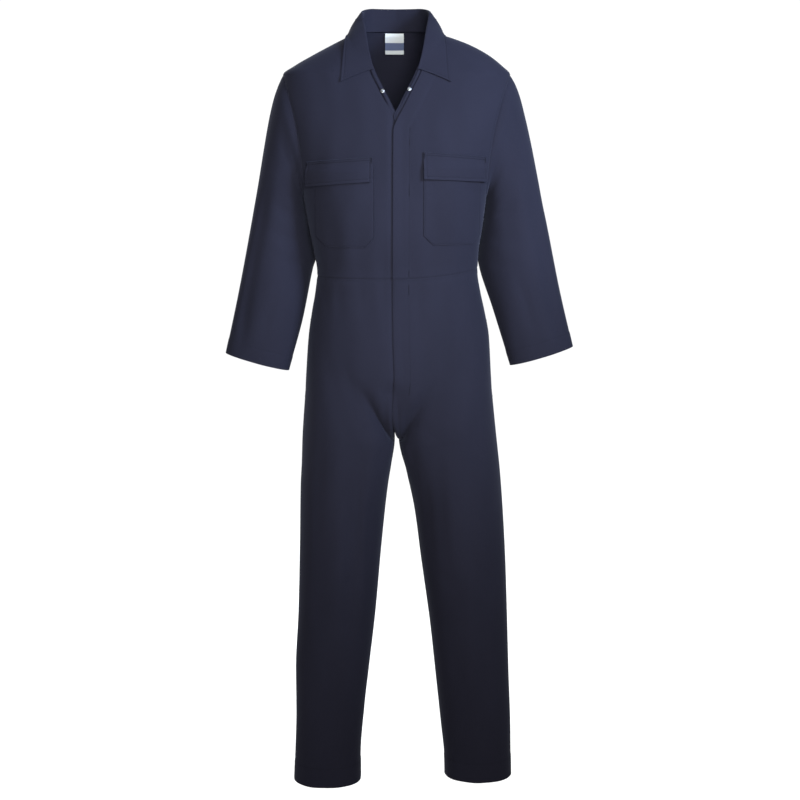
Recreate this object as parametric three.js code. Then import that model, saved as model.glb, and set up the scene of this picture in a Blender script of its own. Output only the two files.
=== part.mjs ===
// A boiler suit in navy twill, standing in the shape it has when it is filled out.
// Millimetres, +Z up. The origin is the middle of the neck base; the front faces -Y.
// The wearer's right is -X and the wearer's left is +X.
import * as THREE from 'three';

// Cloth
const WALL = 1.5;
const SEAM_GAP = 0.3;
const LAYER = WALL + SEAM_GAP;
const NECK_CLEAR = { up: 1.6, in: 2.3 };
const FACET_ROOM = 0.8;
const STRIP_ROOM = 1.15;
const MITRE_LIMIT = 1.8;

// Sections: the exponent of each rounded outline, where 2 is an ellipse
const BODY_ROUND = 2.4;
const LEG_ROUND = 2.2;

// Heights
const NECK_Z = 4;
const SHOULDER_Z = -80;
const ARMPIT_Z = -335;
const WAIST_Z = -499;
const WAIST_LIFT_LEFT = 18;
const RISE_START_Z = -745;
const THIGH_START_Z = -600;
const THIGH_SHARE = { seam: 0.3, start: 0.6 };
const CROTCH_Z = -848;
const HEM_Z = { right: -1624, left: -1612 };
const NAPE_LIFT = 8;

// How many strips each piece is divided into
const ARMHOLE_STEPS = 12;
const FRONT_COLUMNS = 9;
const BACK_COLUMNS = 9;
const SHOULDER_ROWS = [-64, -45, -26, -9, NECK_Z];
const BODICE_ROWS = 5;
const HIP_ROWS = 6;
const CROTCH_ROWS = 6;
const LEG_ROWS = 11;
const SLEEVE_RINGS = 18;
const SLEEVE_CROWDING = 1.15;

// Body from the crotch to the neck: half widths of each side and depths of front and back
const BODY = [
  { z: -860, right: 203, left: 218, front: 121, back: 134 },
  { z: -785, right: 198, left: 211, front: 124, back: 139 },
  { z: -705, right: 191, left: 202, front: 124, back: 138 },
  { z: -626, right: 186, left: 198, front: 121, back: 130 },
  { z: -575, right: 179, left: 189, front: 118, back: 120 },
  { z: -530, right: 171, left: 179, front: 115, back: 111 },
  { z: -490, right: 167, left: 173, front: 115, back: 107 },
  { z: -444, right: 174, left: 175, front: 121, back: 108 },
  { z: -404, right: 182, left: 181, front: 127, back: 111 },
  { z: -360, right: 190, left: 187, front: 131, back: 115 },
  { z: -335, right: 194, left: 190, front: 133, back: 118 },
  { z: -260, right: 200, left: 197, front: 134, back: 124 },
  { z: -207, right: 208, left: 205, front: 131, back: 126 },
  { z: -160, right: 216, left: 214, front: 123, back: 123 },
  { z: -120, right: 226, left: 226, front: 113, back: 116 },
  { z: -80, right: 235, left: 238, front: 99, back: 105 },
  { z: -62, right: 211, left: 221, front: 91, back: 98 },
  { z: -41, right: 174, left: 194, front: 81, back: 90 },
  { z: -20, right: 134, left: 155, front: 69, back: 80 },
  { z: -6, right: 106, left: 118, front: 58, back: 73 },
  { z: 4, right: 85, left: 85, front: 48, back: 68 },
];

// Armhole: how far its front and back curves stand out, and how far it bows to the chest
const ARMHOLE = { front: 70, back: 78, bow: 13 };

// Front edges: the neckline under the collar, the V below it and the straight closing line
const RIGHT_EDGE = [
  { z: -848, x: -2 }, { z: -797, x: -7 }, { z: -758, x: -4 }, { z: -700, x: -1.5 },
  { z: -622, x: -5 }, { z: -499, x: -6 }, { z: -190, x: -6 }, { z: -172, x: -6 },
  { z: -148, x: -17 }, { z: -118, x: -33 }, { z: -78, x: -53 }, { z: -50, x: -63 },
  { z: -20, x: -71 }, { z: 4, x: -77 },
];
const LEFT_EDGE = [
  { z: -848, x: -2 }, { z: -797, x: -7 }, { z: -758, x: -4 }, { z: -700, x: -1.5 },
  { z: -622, x: -5 }, { z: -499, x: -6 }, { z: -196, x: -5 }, { z: -174, x: 3 },
  { z: -148, x: 17 }, { z: -118, x: 32 }, { z: -78, x: 52 }, { z: -50, x: 62 },
  { z: -20, x: 71 }, { z: 4, x: 77 },
];

// Legs: distances of the outer side and the inseam from the middle, and depths
const LEGS = {
  right: [
    { z: -1626, outer: 228, inner: 80, front: 64, back: 84 },
    { z: -1578, outer: 226, inner: 80, front: 64, back: 84 },
    { z: -1458, outer: 222, inner: 71, front: 68, back: 84 },
    { z: -1370, outer: 222, inner: 61, front: 73, back: 84 },
    { z: -1240, outer: 215, inner: 46, front: 80, back: 86 },
    { z: -1084, outer: 210, inner: 32, front: 90, back: 95 },
    { z: -953, outer: 207, inner: 18, front: 105, back: 114 },
    { z: -901, outer: 204, inner: 10, front: 112, back: 123 },
    { z: -848, outer: 202, inner: 3, front: 117, back: 130 },
    { z: -740, outer: 194, inner: 3, front: 125, back: 141 },
  ],
  left: [
    { z: -1616, outer: 257, inner: 110, front: 64, back: 84 },
    { z: -1578, outer: 256, inner: 109, front: 64, back: 84 },
    { z: -1488, outer: 254, inner: 100, front: 67, back: 84 },
    { z: -1375, outer: 249, inner: 88, front: 73, back: 84 },
    { z: -1264, outer: 245, inner: 76, front: 79, back: 86 },
    { z: -1118, outer: 239, inner: 56, front: 88, back: 93 },
    { z: -1004, outer: 232, inner: 41, front: 99, back: 108 },
    { z: -919, outer: 225, inner: 23, front: 110, back: 121 },
    { z: -848, outer: 217, inner: 7, front: 117, back: 130 },
    { z: -740, outer: 205, inner: 7, front: 125, back: 141 },
  ],
};

// Sleeves: the top and the underarm point of each ring, its half depth, middle and bow
const SLEEVES = {
  right: [
    { t: 0.0, topX: 235, topZ: -80, underX: 194, underZ: -335, depth: 74, middle: 4, bow: 13 },
    { t: 0.06, topX: 246, topZ: -103, underX: 203, underZ: -330, depth: 79, middle: 6, bow: 9 },
    { t: 0.12, topX: 256, topZ: -130, underX: 208, underZ: -340, depth: 81, middle: 9, bow: 6 },
    { t: 0.2, topX: 266, topZ: -168, underX: 203, underZ: -362, depth: 81, middle: 13, bow: 3 },
    { t: 0.32, topX: 278, topZ: -228, underX: 193, underZ: -391, depth: 79, middle: 18, bow: 0 },
    { t: 0.46, topX: 292, topZ: -305, underX: 183, underZ: -430, depth: 75, middle: 21, bow: 0 },
    { t: 0.6, topX: 310, topZ: -400, underX: 179, underZ: -484, depth: 68, middle: 19, bow: 0 },
    { t: 0.8, topX: 336, topZ: -535, underX: 199, underZ: -586, depth: 54, middle: 4, bow: 0 },
    { t: 1.0, topX: 363, topZ: -662, underX: 230, underZ: -699, depth: 38, middle: -16, bow: 0 },
  ],
  left: [
    { t: 0.0, topX: 238, topZ: -80, underX: 190, underZ: -335, depth: 74, middle: 4, bow: 13 },
    { t: 0.06, topX: 250, topZ: -101, underX: 199, underZ: -330, depth: 79, middle: 6, bow: 9 },
    { t: 0.12, topX: 260, topZ: -126, underX: 204, underZ: -340, depth: 81, middle: 9, bow: 6 },
    { t: 0.2, topX: 270, topZ: -160, underX: 200, underZ: -362, depth: 81, middle: 13, bow: 3 },
    { t: 0.32, topX: 284, topZ: -216, underX: 191, underZ: -391, depth: 79, middle: 18, bow: 0 },
    { t: 0.46, topX: 301, topZ: -295, underX: 182, underZ: -430, depth: 75, middle: 21, bow: 0 },
    { t: 0.6, topX: 321, topZ: -390, underX: 181, underZ: -480, depth: 68, middle: 19, bow: 0 },
    { t: 0.8, topX: 349, topZ: -528, underX: 208, underZ: -570, depth: 54, middle: 4, bow: 0 },
    { t: 1.0, topX: 377, topZ: -648, underX: 245, underZ: -688, depth: 38, middle: -16, bow: 0 },
  ],
};

// The largest folds: soft troughs (minus) and ridges (plus) that run down the cloth
const FOLDS = [
  { face: 'front', x: -20, lean: 0.02, spread: 13, top: -770, bottom: -930, depth: -6 },
  { face: 'front', x: 24, lean: -0.12, spread: 13, top: -775, bottom: -910, depth: -6 },
  { face: 'front', x: -90, lean: 0.03, spread: 14, top: -970, bottom: -1290, depth: -4 },
  { face: 'front', x: -98, lean: 0.05, spread: 22, top: -230, bottom: -500, depth: 2.5 },
  { face: 'front', x: 118, lean: -0.04, spread: 22, top: -260, bottom: -500, depth: 2.5 },
  { face: 'front', x: -268, lean: 0.18, spread: 13, top: -300, bottom: -640, depth: -5 },
  { face: 'front', x: 285, lean: -0.2, spread: 13, top: -330, bottom: -620, depth: -5 },
  { face: 'front', x: 150, lean: -0.04, spread: 18, top: -980, bottom: -1400, depth: 3 },
  { face: 'back', x: -60, lean: 0.02, spread: 22, top: -330, bottom: -510, depth: -4 },
  { face: 'back', x: 66, lean: -0.02, spread: 22, top: -320, bottom: -500, depth: -4 },
  { face: 'back', x: -70, lean: 0.1, spread: 18, top: -840, bottom: -1010, depth: -6 },
  { face: 'back', x: 84, lean: -0.1, spread: 18, top: -850, bottom: -1020, depth: -6 },
  { face: 'back', x: -272, lean: 0.2, spread: 14, top: -330, bottom: -610, depth: -4 },
  { face: 'back', x: 290, lean: -0.2, spread: 14, top: -330, bottom: -600, depth: -4 },
];
const FOLD_END = 70;
const FOLD_SIDE = 35;

// Breast pockets and their flaps, as corners on the front
const FLAPS = {
  right: { inner: -47, outer: -181, topInner: -249, topOuter: -258, low: [-298, -308] },
  left: { inner: 56, outer: 182, topInner: -239, topOuter: -248, low: [-293, -298] },
};
const POCKETS = {
  right: { inner: -43, outer: -165, top: -269, cut: 21, low: -432, cutInner: 19, cutOuter: 21 },
  left: { inner: 57, outer: 173, top: -262, cut: 19, low: -427, cutInner: 19, cutOuter: 14 },
};

// Strips inside the front edges
const STRIP_SHOWS = 12;
const FACING = { width: 33, behind: 20, top: -78, bottom: -742 };
const UNDERLAP = { behind: 20, past: 24, top: -78, bottom: -736, stepStart: 17, stepEnd: 7 };
const V_FOOT = { low: -190, high: -150 };
const STUD = { radius: 4.2, height: 3.2, ball: 2.4, right: -117, left: -113, fromEdge: 7 };

// Collar stations from the back to the front end, as distances from the middle
const COLLAR = [
  { u: 0.0, rollX: 0, rollY: 71, rollZ: 57, edgeX: 0, edgeY: 94, edgeZ: -12 },
  { u: 0.25, rollX: 44, rollY: 61, rollZ: 57, edgeX: 62, edgeY: 86, edgeZ: -14 },
  { u: 0.42, rollX: 61, rollY: 33, rollZ: 55, edgeX: 97, edgeY: 54, edgeZ: -14 },
  { u: 0.55, rollX: 65, rollY: -4, rollZ: 47, edgeX: 109, edgeY: 2, edgeZ: -8 },
  { u: 0.72, rollX: 61, rollY: -50, rollZ: 9, edgeX: 113, edgeY: -62, edgeZ: -36 },
  { u: 0.87, rollX: 54, rollY: -80, rollZ: -36, edgeX: 115, edgeY: -86, edgeZ: -68 },
  { u: 1.0, rollX: 44, rollY: -99, rollZ: -73, edgeX: 114, edgeY: -103, edgeZ: -98 },
];
const COLLAR_COLUMNS = 13;
const STAND_ROWS = 3;
const ROLL_ROWS = 4;
const FALL_ROWS = 5;
const ROLL_RADIUS = { back: 3, side: 1.6 };
const COLLAR_CLEAR = 5.4;
const NECK_TAPER = 1.6;
const COLLAR_BULGE = { back: 6, side: 0.8, front: 2.8 };
const SHOULDER_U = 0.55;
const LEG_MIDDLE = 130;
const NECKLABEL = { left: 17, right: -23, top: 10, bottom: -31 };

const NAVY = { color: 0x232b4d, roughness: 0.9, metalness: 0 };
const NAVY_INSIDE = { color: 0x1b2140, roughness: 0.92, metalness: 0 };
const TAPE = { color: 0xe4e5ea, roughness: 0.8, metalness: 0 };
const STEEL = { color: 0xc3c5c9, roughness: 0.35, metalness: 0.9 };

const garment = new THREE.Group();
garment.name = 'boiler_suit';

// One column of a table at a given place, on a smooth curve through the rows
function sample(rows, key, place, column) {
  const last = rows.length - 1;
  if (place <= rows[0][key]) return rows[0][column];
  if (place >= rows[last][key]) return rows[last][column];
  let k = 0;
  while (rows[k + 1][key] < place) k += 1;
  const slope = (i) => (rows[i + 1][column] - rows[i][column]) / (rows[i + 1][key] - rows[i][key]);
  const tangent = (i) => {
    if (i === 0) return slope(0);
    if (i === last) return slope(last - 1);
    const before = slope(i - 1);
    const after = slope(i);
    return before * after <= 0 ? 0 : (2 * before * after) / (before + after);
  };
  const span = rows[k + 1][key] - rows[k][key];
  const f = (place - rows[k][key]) / span;
  const start = rows[k][column] * (1 + 2 * f) * (1 - f) ** 2;
  const end = rows[k + 1][column] * f * f * (3 - 2 * f);
  const bend = f * (1 - f) * (tangent(k) * (1 - f) - tangent(k + 1) * f) * span;
  return start + end + bend;
}

// 0 below the start, 1 above the end, with a soft change between them
function ease(start, end, value) {
  const f = Math.min(1, Math.max(0, (value - start) / (end - start)));
  return f * f * (3 - 2 * f);
}

function mix(a, b, f) {
  return a + (b - a) * f;
}

function range(count) {
  return Array.from({ length: count }, (_, k) => k);
}

// Moves a point in or out along Y where a fold runs, fading out towards the side
function folded(point, middleY = 0) {
  const out = Math.sign(point.y - middleY);
  const face = out < 0 ? 'front' : 'back';
  let amount = 0;
  for (const fold of FOLDS) {
    if (fold.face !== face) continue;
    const off = point.x - fold.x - fold.lean * (point.z - fold.top);
    const along = ease(fold.bottom - FOLD_END, fold.bottom + FOLD_END, point.z)
      * (1 - ease(fold.top - FOLD_END, fold.top + FOLD_END, point.z));
    amount += fold.depth * Math.exp(-((off / fold.spread) ** 2)) * along;
  }
  const side = Math.min(1, Math.abs(point.y - middleY) / FOLD_SIDE);
  point.y += out * amount * side;
  return point;
}

// Angle along the armhole at a height: 0 at the shoulder point, PI at the armpit
function armholeAngle(z) {
  const half = (SHOULDER_Z - ARMPIT_Z) / 2;
  return Math.acos(Math.min(1, Math.max(-1, (z - ARMPIT_Z - half) / half)));
}

// Where a torso section ends: at the side, the armhole or the shoulder line
function torsoEnd(side, face, z) {
  if (z <= ARMPIT_Z || z >= SHOULDER_Z) return { x: sample(BODY, 'z', z, side), y: 0 };
  const angle = armholeAngle(z);
  const ring = SLEEVES[side][0];
  const straight = mix(ring.underX, ring.topX, (1 + Math.cos(angle)) / 2);
  return {
    x: straight - ARMHOLE.bow * Math.sin(angle) ** 2,
    y: ARMHOLE[face] * Math.sin(angle),
  };
}

// The curve of one torso section: its half width and depth, and the angle where it ends
function section(side, face, z) {
  const depth = sample(BODY, 'z', z, face);
  const end = torsoEnd(side, face, z);
  const width = end.x / (1 - (end.y / depth) ** BODY_ROUND) ** (1 / BODY_ROUND);
  return { depth, width, endAngle: Math.atan2(end.x / width, end.y / depth) };
}

// Angle on a section at which it reaches x
function angleAt(curve, x) {
  const across = Math.min(1, Math.abs(x) / curve.width);
  const deep = (1 - across ** BODY_ROUND) ** (1 / BODY_ROUND);
  return Math.atan2(Math.sign(x) * across, deep);
}

// Point on a section at an angle, where 0 is the middle of the front or back
function sectionPoint(curve, side, face, angle, z) {
  const across = Math.abs(Math.sin(angle));
  const deep = Math.abs(Math.cos(angle));
  const reach = (across ** BODY_ROUND + deep ** BODY_ROUND) ** (-1 / BODY_ROUND);
  const toSide = side === 'right' ? -1 : 1;
  const toFace = face === 'front' ? -1 : 1;
  const x = toSide * curve.width * reach * Math.sin(angle);
  return new THREE.Vector3(x, toFace * curve.depth * reach * Math.cos(angle), z);
}

// Point of the torso or hip at a share of the way from an inner edge x to the side
function torsoPoint(side, face, share, z, innerX) {
  const curve = section(side, face, z);
  const inner = angleAt(curve, side === 'right' ? -innerX : innerX);
  const point = sectionPoint(curve, side, face, mix(inner, curve.endAngle, share), z);
  return folded(point);
}

// Point of a trouser panel at a given x, found by halving the share of the way across
function trouserAt(face, x, z) {
  const side = x < frontEdge('right', face, z) ? 'right' : 'left';
  const outward = side === 'right' ? -1 : 1;
  let low = 0;
  let high = THIGH_SHARE.start;
  for (let turn = 0; turn < 24; turn += 1) {
    const share = (low + high) / 2;
    const short = (x - trouserPoint(side, face, share, z).x) * outward > 0;
    if (short) low = share;
    else high = share;
  }
  return trouserPoint(side, face, low, z);
}

// Point of the front or back cloth at a given x and height
function clothAt(face, x, z) {
  if (z < THIGH_START_Z) return trouserAt(face, x, z);
  const side = x < 0 ? 'right' : 'left';
  const curve = section(side, face, z);
  return folded(sectionPoint(curve, side, face, angleAt(curve, Math.abs(x)), z));
}

// The same point moved out of the cloth (or into it, when minus) along its normal
function clothOffset(face, x, z, out) {
  const step = 2;
  const point = clothAt(face, x, z);
  const along = clothAt(face, x + step, z).sub(clothAt(face, x - step, z));
  const up = clothAt(face, x, z + step).sub(clothAt(face, x, z - step));
  const normal = along.cross(up).normalize();
  if (face === 'back') normal.negate();
  return point.addScaledVector(normal, out);
}

// How far a point is outside the body, as a share of the way from its middle line. Above the
// neck seam the body narrows quickly to nothing.
function outside(point) {
  const side = point.x < 0 ? 'right' : 'left';
  const face = point.y < 0 ? 'front' : 'back';
  const narrowed = NECK_TAPER * Math.max(0, point.z - NECK_Z);
  const across = Math.abs(point.x) / Math.max(1, sample(BODY, 'z', point.z, side) - narrowed);
  const deep = Math.abs(point.y) / Math.max(1, sample(BODY, 'z', point.z, face) - narrowed);
  return (across ** BODY_ROUND + deep ** BODY_ROUND) ** (1 / BODY_ROUND) - 1;
}

// Moves a point that is too near the body out until it is clear of it
function clearOfBody(point, clear) {
  for (let turn = 0; turn < 4; turn += 1) {
    const rise = new THREE.Vector3();
    for (const axis of ['x', 'y', 'z']) {
      const ahead = point.clone();
      ahead[axis] += 1;
      const behind = point.clone();
      behind[axis] -= 1;
      rise[axis] = (outside(ahead) - outside(behind)) / 2;
    }
    const steep = rise.length();
    const near = clear - outside(point) / steep;
    if (near > 0) point.addScaledVector(rise, near / steep);
  }
  return point;
}

// The height of the waist seam: level, but lifted towards the wearer's left side
function waistZ(side, share) {
  return side === 'left' ? WAIST_Z + WAIST_LIFT_LEFT * ease(0, 1, share) : WAIST_Z;
}

// Row heights of the bodice, from the waist to the neck, for one column
function bodiceRows(side, share) {
  const waist = waistZ(side, share);
  const below = range(BODICE_ROWS).map((k) => mix(waist, ARMPIT_Z, k / BODICE_ROWS));
  const middle = (SHOULDER_Z + ARMPIT_Z) / 2;
  const half = (SHOULDER_Z - ARMPIT_Z) / 2;
  const armhole = range(ARMHOLE_STEPS + 1)
    .map((k) => middle - half * Math.cos((Math.PI * k) / ARMHOLE_STEPS));
  return [...below, ...armhole, ...SHOULDER_ROWS];
}

// Row heights of one trouser leg, from the waist to the hem, for one column
function trouserRows(side, share) {
  const waist = waistZ(side, share);
  const hips = range(HIP_ROWS).map((k) => mix(waist, RISE_START_Z, k / HIP_ROWS));
  const rise = range(CROTCH_ROWS + 1).map((k) => {
    const turn = (Math.PI / 2) * (k / CROTCH_ROWS);
    return mix(RISE_START_Z, CROTCH_Z, Math.sin(turn));
  });
  const leg = range(LEG_ROWS).map((k) => mix(CROTCH_Z, HEM_Z[side], (k + 1) / LEG_ROWS));
  return [...hips, ...rise, ...leg];
}

// Point of a trouser panel: the hip section turns into half of the leg section
function trouserPoint(side, face, share, z) {
  const hip = torsoPoint(side, face, share, Math.max(z, CROTCH_Z), frontEdge(side, face, z));
  const start = mix(RISE_START_Z, THIGH_START_Z, ease(0, THIGH_SHARE.start, share));
  const down = Math.min(1, Math.max(0, (start - z) / (start - CROTCH_Z)));
  const atSeam = 1 - Math.sqrt(1 - down * down);
  const turned = mix(atSeam, ease(0, 1, down), ease(0, THIGH_SHARE.seam, share));
  const legs = LEGS[side];
  const outer = sample(legs, 'z', z, 'outer');
  const inner = sample(legs, 'z', z, 'inner');
  const angle = Math.PI * (1 - share);
  const across = Math.abs(Math.cos(angle));
  const deep = Math.abs(Math.sin(angle));
  const reach = (across ** LEG_ROUND + deep ** LEG_ROUND) ** (-1 / LEG_ROUND);
  const toSide = side === 'right' ? -1 : 1;
  const toFace = face === 'front' ? -1 : 1;
  const x = toSide * ((outer + inner) / 2 + ((outer - inner) / 2) * reach * Math.cos(angle));
  const y = toFace * sample(legs, 'z', z, face) * reach * deep;
  const leg = folded(new THREE.Vector3(x, y, z));
  return new THREE.Vector3(mix(hip.x, leg.x, turned), mix(hip.y, leg.y, turned), z);
}

// Where a panel starts: at the closing line, or at the back seam, which meets it in the crotch
function frontEdge(side, face, z) {
  const edge = sample(side === 'right' ? RIGHT_EDGE : LEFT_EDGE, 'z', z, 'x');
  return face === 'back' ? edge * ease(WAIST_Z, CROTCH_Z, z) : edge;
}

// Sheets of points, one for each piece of cloth; pieces that are sewn share edge points
const sheets = [];

function addSheet(name, points, middles, options = {}) {
  sheets.push({ name, points, middles, finish: NAVY, round: false, mitred: true, ...options });
}

function frontPanel(side) {
  const rows = bodiceRows(side, 0).length;
  const points = range(rows).map((j) => range(FRONT_COLUMNS + 1).map((i) => {
    const share = i / FRONT_COLUMNS;
    const z = bodiceRows(side, share)[j];
    return torsoPoint(side, 'front', share, z, frontEdge(side, 'front', z));
  }));
  addSheet(`front_${side}`, points, points.map((row) => new THREE.Vector3(0, 0, row[0].z)));
}

function backPanel() {
  const rows = bodiceRows('right', 0).length;
  const points = range(rows).map((j) => range(2 * BACK_COLUMNS + 1).map((i) => {
    const share = i / BACK_COLUMNS - 1;
    const side = share < 0 ? 'right' : 'left';
    const z = bodiceRows(side, Math.abs(share))[j];
    const point = torsoPoint(side, 'back', Math.abs(share), z, 0);
    const top = ease(SHOULDER_ROWS[2], NECK_Z, z);
    point.z += NAPE_LIFT * top * (1 - share * share);
    return point;
  }));
  addSheet('back', points, points.map((row) => new THREE.Vector3(0, 0, row[0].z)));
}

function trouserPanel(side, face) {
  const rows = trouserRows(side, 0).length;
  const points = range(rows).map((j) => range(FRONT_COLUMNS + 1).map((i) => {
    const share = i / FRONT_COLUMNS;
    return trouserPoint(side, face, share, trouserRows(side, share)[j]);
  }));
  const toSide = side === 'right' ? -1 : 1;
  const middles = points.map((row) => new THREE.Vector3(toSide * LEG_MIDDLE, 0, row[0].z));
  addSheet(`trouser_${face}_${side}`, points, middles);
}

// A sleeve is a row of rings that fan round the armpit and then run down the arm
function sleeve(side) {
  const toSide = side === 'right' ? -1 : 1;
  const rows = SLEEVES[side];
  const middles = [];
  const points = range(SLEEVE_RINGS + 1).map((k) => {
    const t = (k / SLEEVE_RINGS) ** SLEEVE_CROWDING;
    const at = (column) => sample(rows, 't', t, column);
    const top = new THREE.Vector2(at('topX'), at('topZ'));
    const under = new THREE.Vector2(at('underX'), at('underZ'));
    const middle = at('middle');
    const centre = new THREE.Vector3(toSide * (top.x + under.x) / 2, middle, (top.y + under.y) / 2);
    middles.push(centre);
    return range(2 * ARMHOLE_STEPS).map((i) => {
      const angle = (Math.PI * i) / ARMHOLE_STEPS;
      const up = (1 + Math.cos(angle)) / 2;
      const x = mix(under.x, top.x, up) - at('bow') * Math.sin(angle) ** 2;
      const seated = mix(Math.abs(Math.sin(angle)), 1, ease(0, 0.2, t));
      const y = middle * seated - at('depth') * Math.sin(angle);
      return folded(new THREE.Vector3(toSide * x, y, mix(under.y, top.y, up)), middle);
    });
  });
  addSheet(`sleeve_${side}`, points, middles, { round: true });
}

// Neckline point from the back middle (0) over the shoulder to the front end (1)
function neckline(u) {
  if (u <= SHOULDER_U) {
    const point = torsoPoint('left', 'back', u / SHOULDER_U, NECK_Z, 0);
    point.z += NAPE_LIFT * (1 - (u / SHOULDER_U) ** 2);
    return point;
  }
  const z = mix(NECK_Z, COLLAR[COLLAR.length - 1].rollZ, (u - SHOULDER_U) / (1 - SHOULDER_U));
  return clothAt('front', sample(LEFT_EDGE, 'z', z, 'x'), z);
}

// The collar rises from the neckline, rolls over and falls outside it to its edge
function collar() {
  const stations = range(2 * COLLAR_COLUMNS + 1).map((i) => i / COLLAR_COLUMNS - 1);
  const columns = stations.map((station) => {
    const u = Math.abs(station);
    const at = (column) => sample(COLLAR, 'u', u, column);
    const roll = new THREE.Vector3(at('rollX'), at('rollY'), at('rollZ'));
    const edge = new THREE.Vector3(at('edgeX'), at('edgeY'), at('edgeZ'));
    const seam = neckline(u);
    const stand = roll.clone().sub(seam);
    const fall = edge.clone().sub(roll);
    const outward = fall.clone().setZ(0).normalize();
    seam.addScaledVector(stand.clone().normalize(), NECK_CLEAR.up).addScaledVector(outward, -NECK_CLEAR.in);
    const line = range(STAND_ROWS + 1).map((k) => seam.clone().lerp(roll, k / (STAND_ROWS + 1)));
    const up = stand.clone().normalize();
    const radius = mix(ROLL_RADIUS.back, ROLL_RADIUS.side, ease(0.1, 0.4, u));
    const top = roll.clone().addScaledVector(outward, radius);
    for (const k of range(ROLL_ROWS + 1)) {
      const turn = Math.PI * (k / ROLL_ROWS);
      line.push(top.clone().addScaledVector(outward, -radius * Math.cos(turn))
        .addScaledVector(up, radius * (Math.sin(turn) - 1)));
    }
    const start = line[line.length - 1].clone();
    const bulge = mix(mix(COLLAR_BULGE.back, COLLAR_BULGE.side, ease(0.15, 0.4, u)),
      COLLAR_BULGE.front, ease(0.6, 1, u));
    for (const k of range(FALL_ROWS)) {
      const share = (k + 1) / FALL_ROWS;
      line.push(start.clone().lerp(edge, share)
        .addScaledVector(outward, bulge * Math.sin(Math.PI * share)));
    }
    for (const point of line.slice(STAND_ROWS + 1)) clearOfBody(point, COLLAR_CLEAR);
    if (station < 0) for (const point of line) point.x = -point.x;
    return line;
  });
  addSheet('collar', columns, columns.map(() => new THREE.Vector3()), { mitred: false });
}

// A sheet laid on the cloth, from functions for its x limits and its distance from the cloth
function laidSheet(name, face, heights, limits, offset, columns, finish = NAVY) {
  const points = heights.map((z) => range(columns + 1).map((i) => {
    const [start, end] = limits(z);
    const place = mix(start, end, i / columns);
    const height = typeof z === 'number' ? z : mix(z.inner, z.outer, i / columns);
    return clothOffset(face, place, height, offset(place, height, i / columns));
  }));
  const middles = points.map((row) => new THREE.Vector3(0, 0, row[0].z));
  addSheet(name, points, middles, { mitred: false, finish });
}

function breastPocket(side) {
  const size = POCKETS[side];
  const toSide = side === 'right' ? -1 : 1;
  const straight = range(6).map((k) => mix(size.top, size.low + size.cut, k / 5));
  const rows = [...straight, size.low + size.cut / 2, size.low];
  const limits = (z) => {
    const cut = Math.max(0, 1 - (z - size.low) / size.cut);
    return [size.inner + toSide * size.cutInner * cut, size.outer - toSide * size.cutOuter * cut];
  };
  laidSheet(`pocket_${side}`, 'front', rows, limits, () => LAYER + FACET_ROOM, 10);
}

function pocketFlap(side) {
  const size = FLAPS[side];
  const pocketTop = POCKETS[side].top;
  const rows = [0, 0.16, 0.34, 0.56, 0.78, 1].map((f) => ({
    inner: mix(size.topInner, size.low[0], f), outer: mix(size.topOuter, size.low[1], f),
  }));
  const sewn = LAYER + FACET_ROOM;
  const offset = (x, z) => mix(sewn + LAYER + 3 * SEAM_GAP, sewn, ease(pocketTop + 4, pocketTop + 8, z));
  laidSheet(`flap_${side}`, 'front', rows, () => [size.inner, size.outer], offset, 10);
}

// Left edge of the facing: it shows beside the V and is level with the closing line below
function facingStart(z) {
  return sample(LEFT_EDGE, 'z', z, 'x') - STRIP_SHOWS * ease(-186, -160, z);
}

function flyFacing() {
  const rows = stripRows(FACING.top, FACING.bottom);
  const limits = (z) => {
    const reach = mix(FACING.width, FACING.behind, ease(V_FOOT.low, V_FOOT.high, z));
    return [facingStart(z), sample(LEFT_EDGE, 'z', z, 'x') + reach];
  };
  laidSheet('fly_facing', 'front', rows, limits, () => -LAYER - STRIP_ROOM, 4, NAVY_INSIDE);
}

function underlap() {
  const rows = stripRows(UNDERLAP.top, UNDERLAP.bottom);
  const limits = (z) => {
    const edge = sample(RIGHT_EDGE, 'z', z, 'x');
    const past = mix(UNDERLAP.past, STRIP_SHOWS, ease(V_FOOT.low, V_FOOT.high, z));
    return [edge - UNDERLAP.behind, edge + past];
  };
  const near = LAYER + STRIP_ROOM;
  const offset = (x, z) => {
    const under = ease(facingStart(z) - UNDERLAP.stepStart, facingStart(z) - UNDERLAP.stepEnd, x);
    return -mix(near, near + LAYER + SEAM_GAP, under);
  };
  laidSheet('underlap', 'front', rows, limits, offset, 8, NAVY_INSIDE);
}

function stripRows(top, bottom) {
  const inV = [top, -98, -116, -134, -150, -164, -178, -192];
  const straight = range(15).map((k) => mix(-215, bottom, k / 14));
  return [...inV, ...straight];
}

function neckLabel() {
  const { left, right, top, bottom } = NECKLABEL;
  const rows = [top, mix(top, bottom, 0.5), bottom];
  const offset = () => -LAYER - FACET_ROOM;
  laidSheet('neck_label', 'back', rows, () => [right, left], offset, 4, TAPE);
}

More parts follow.
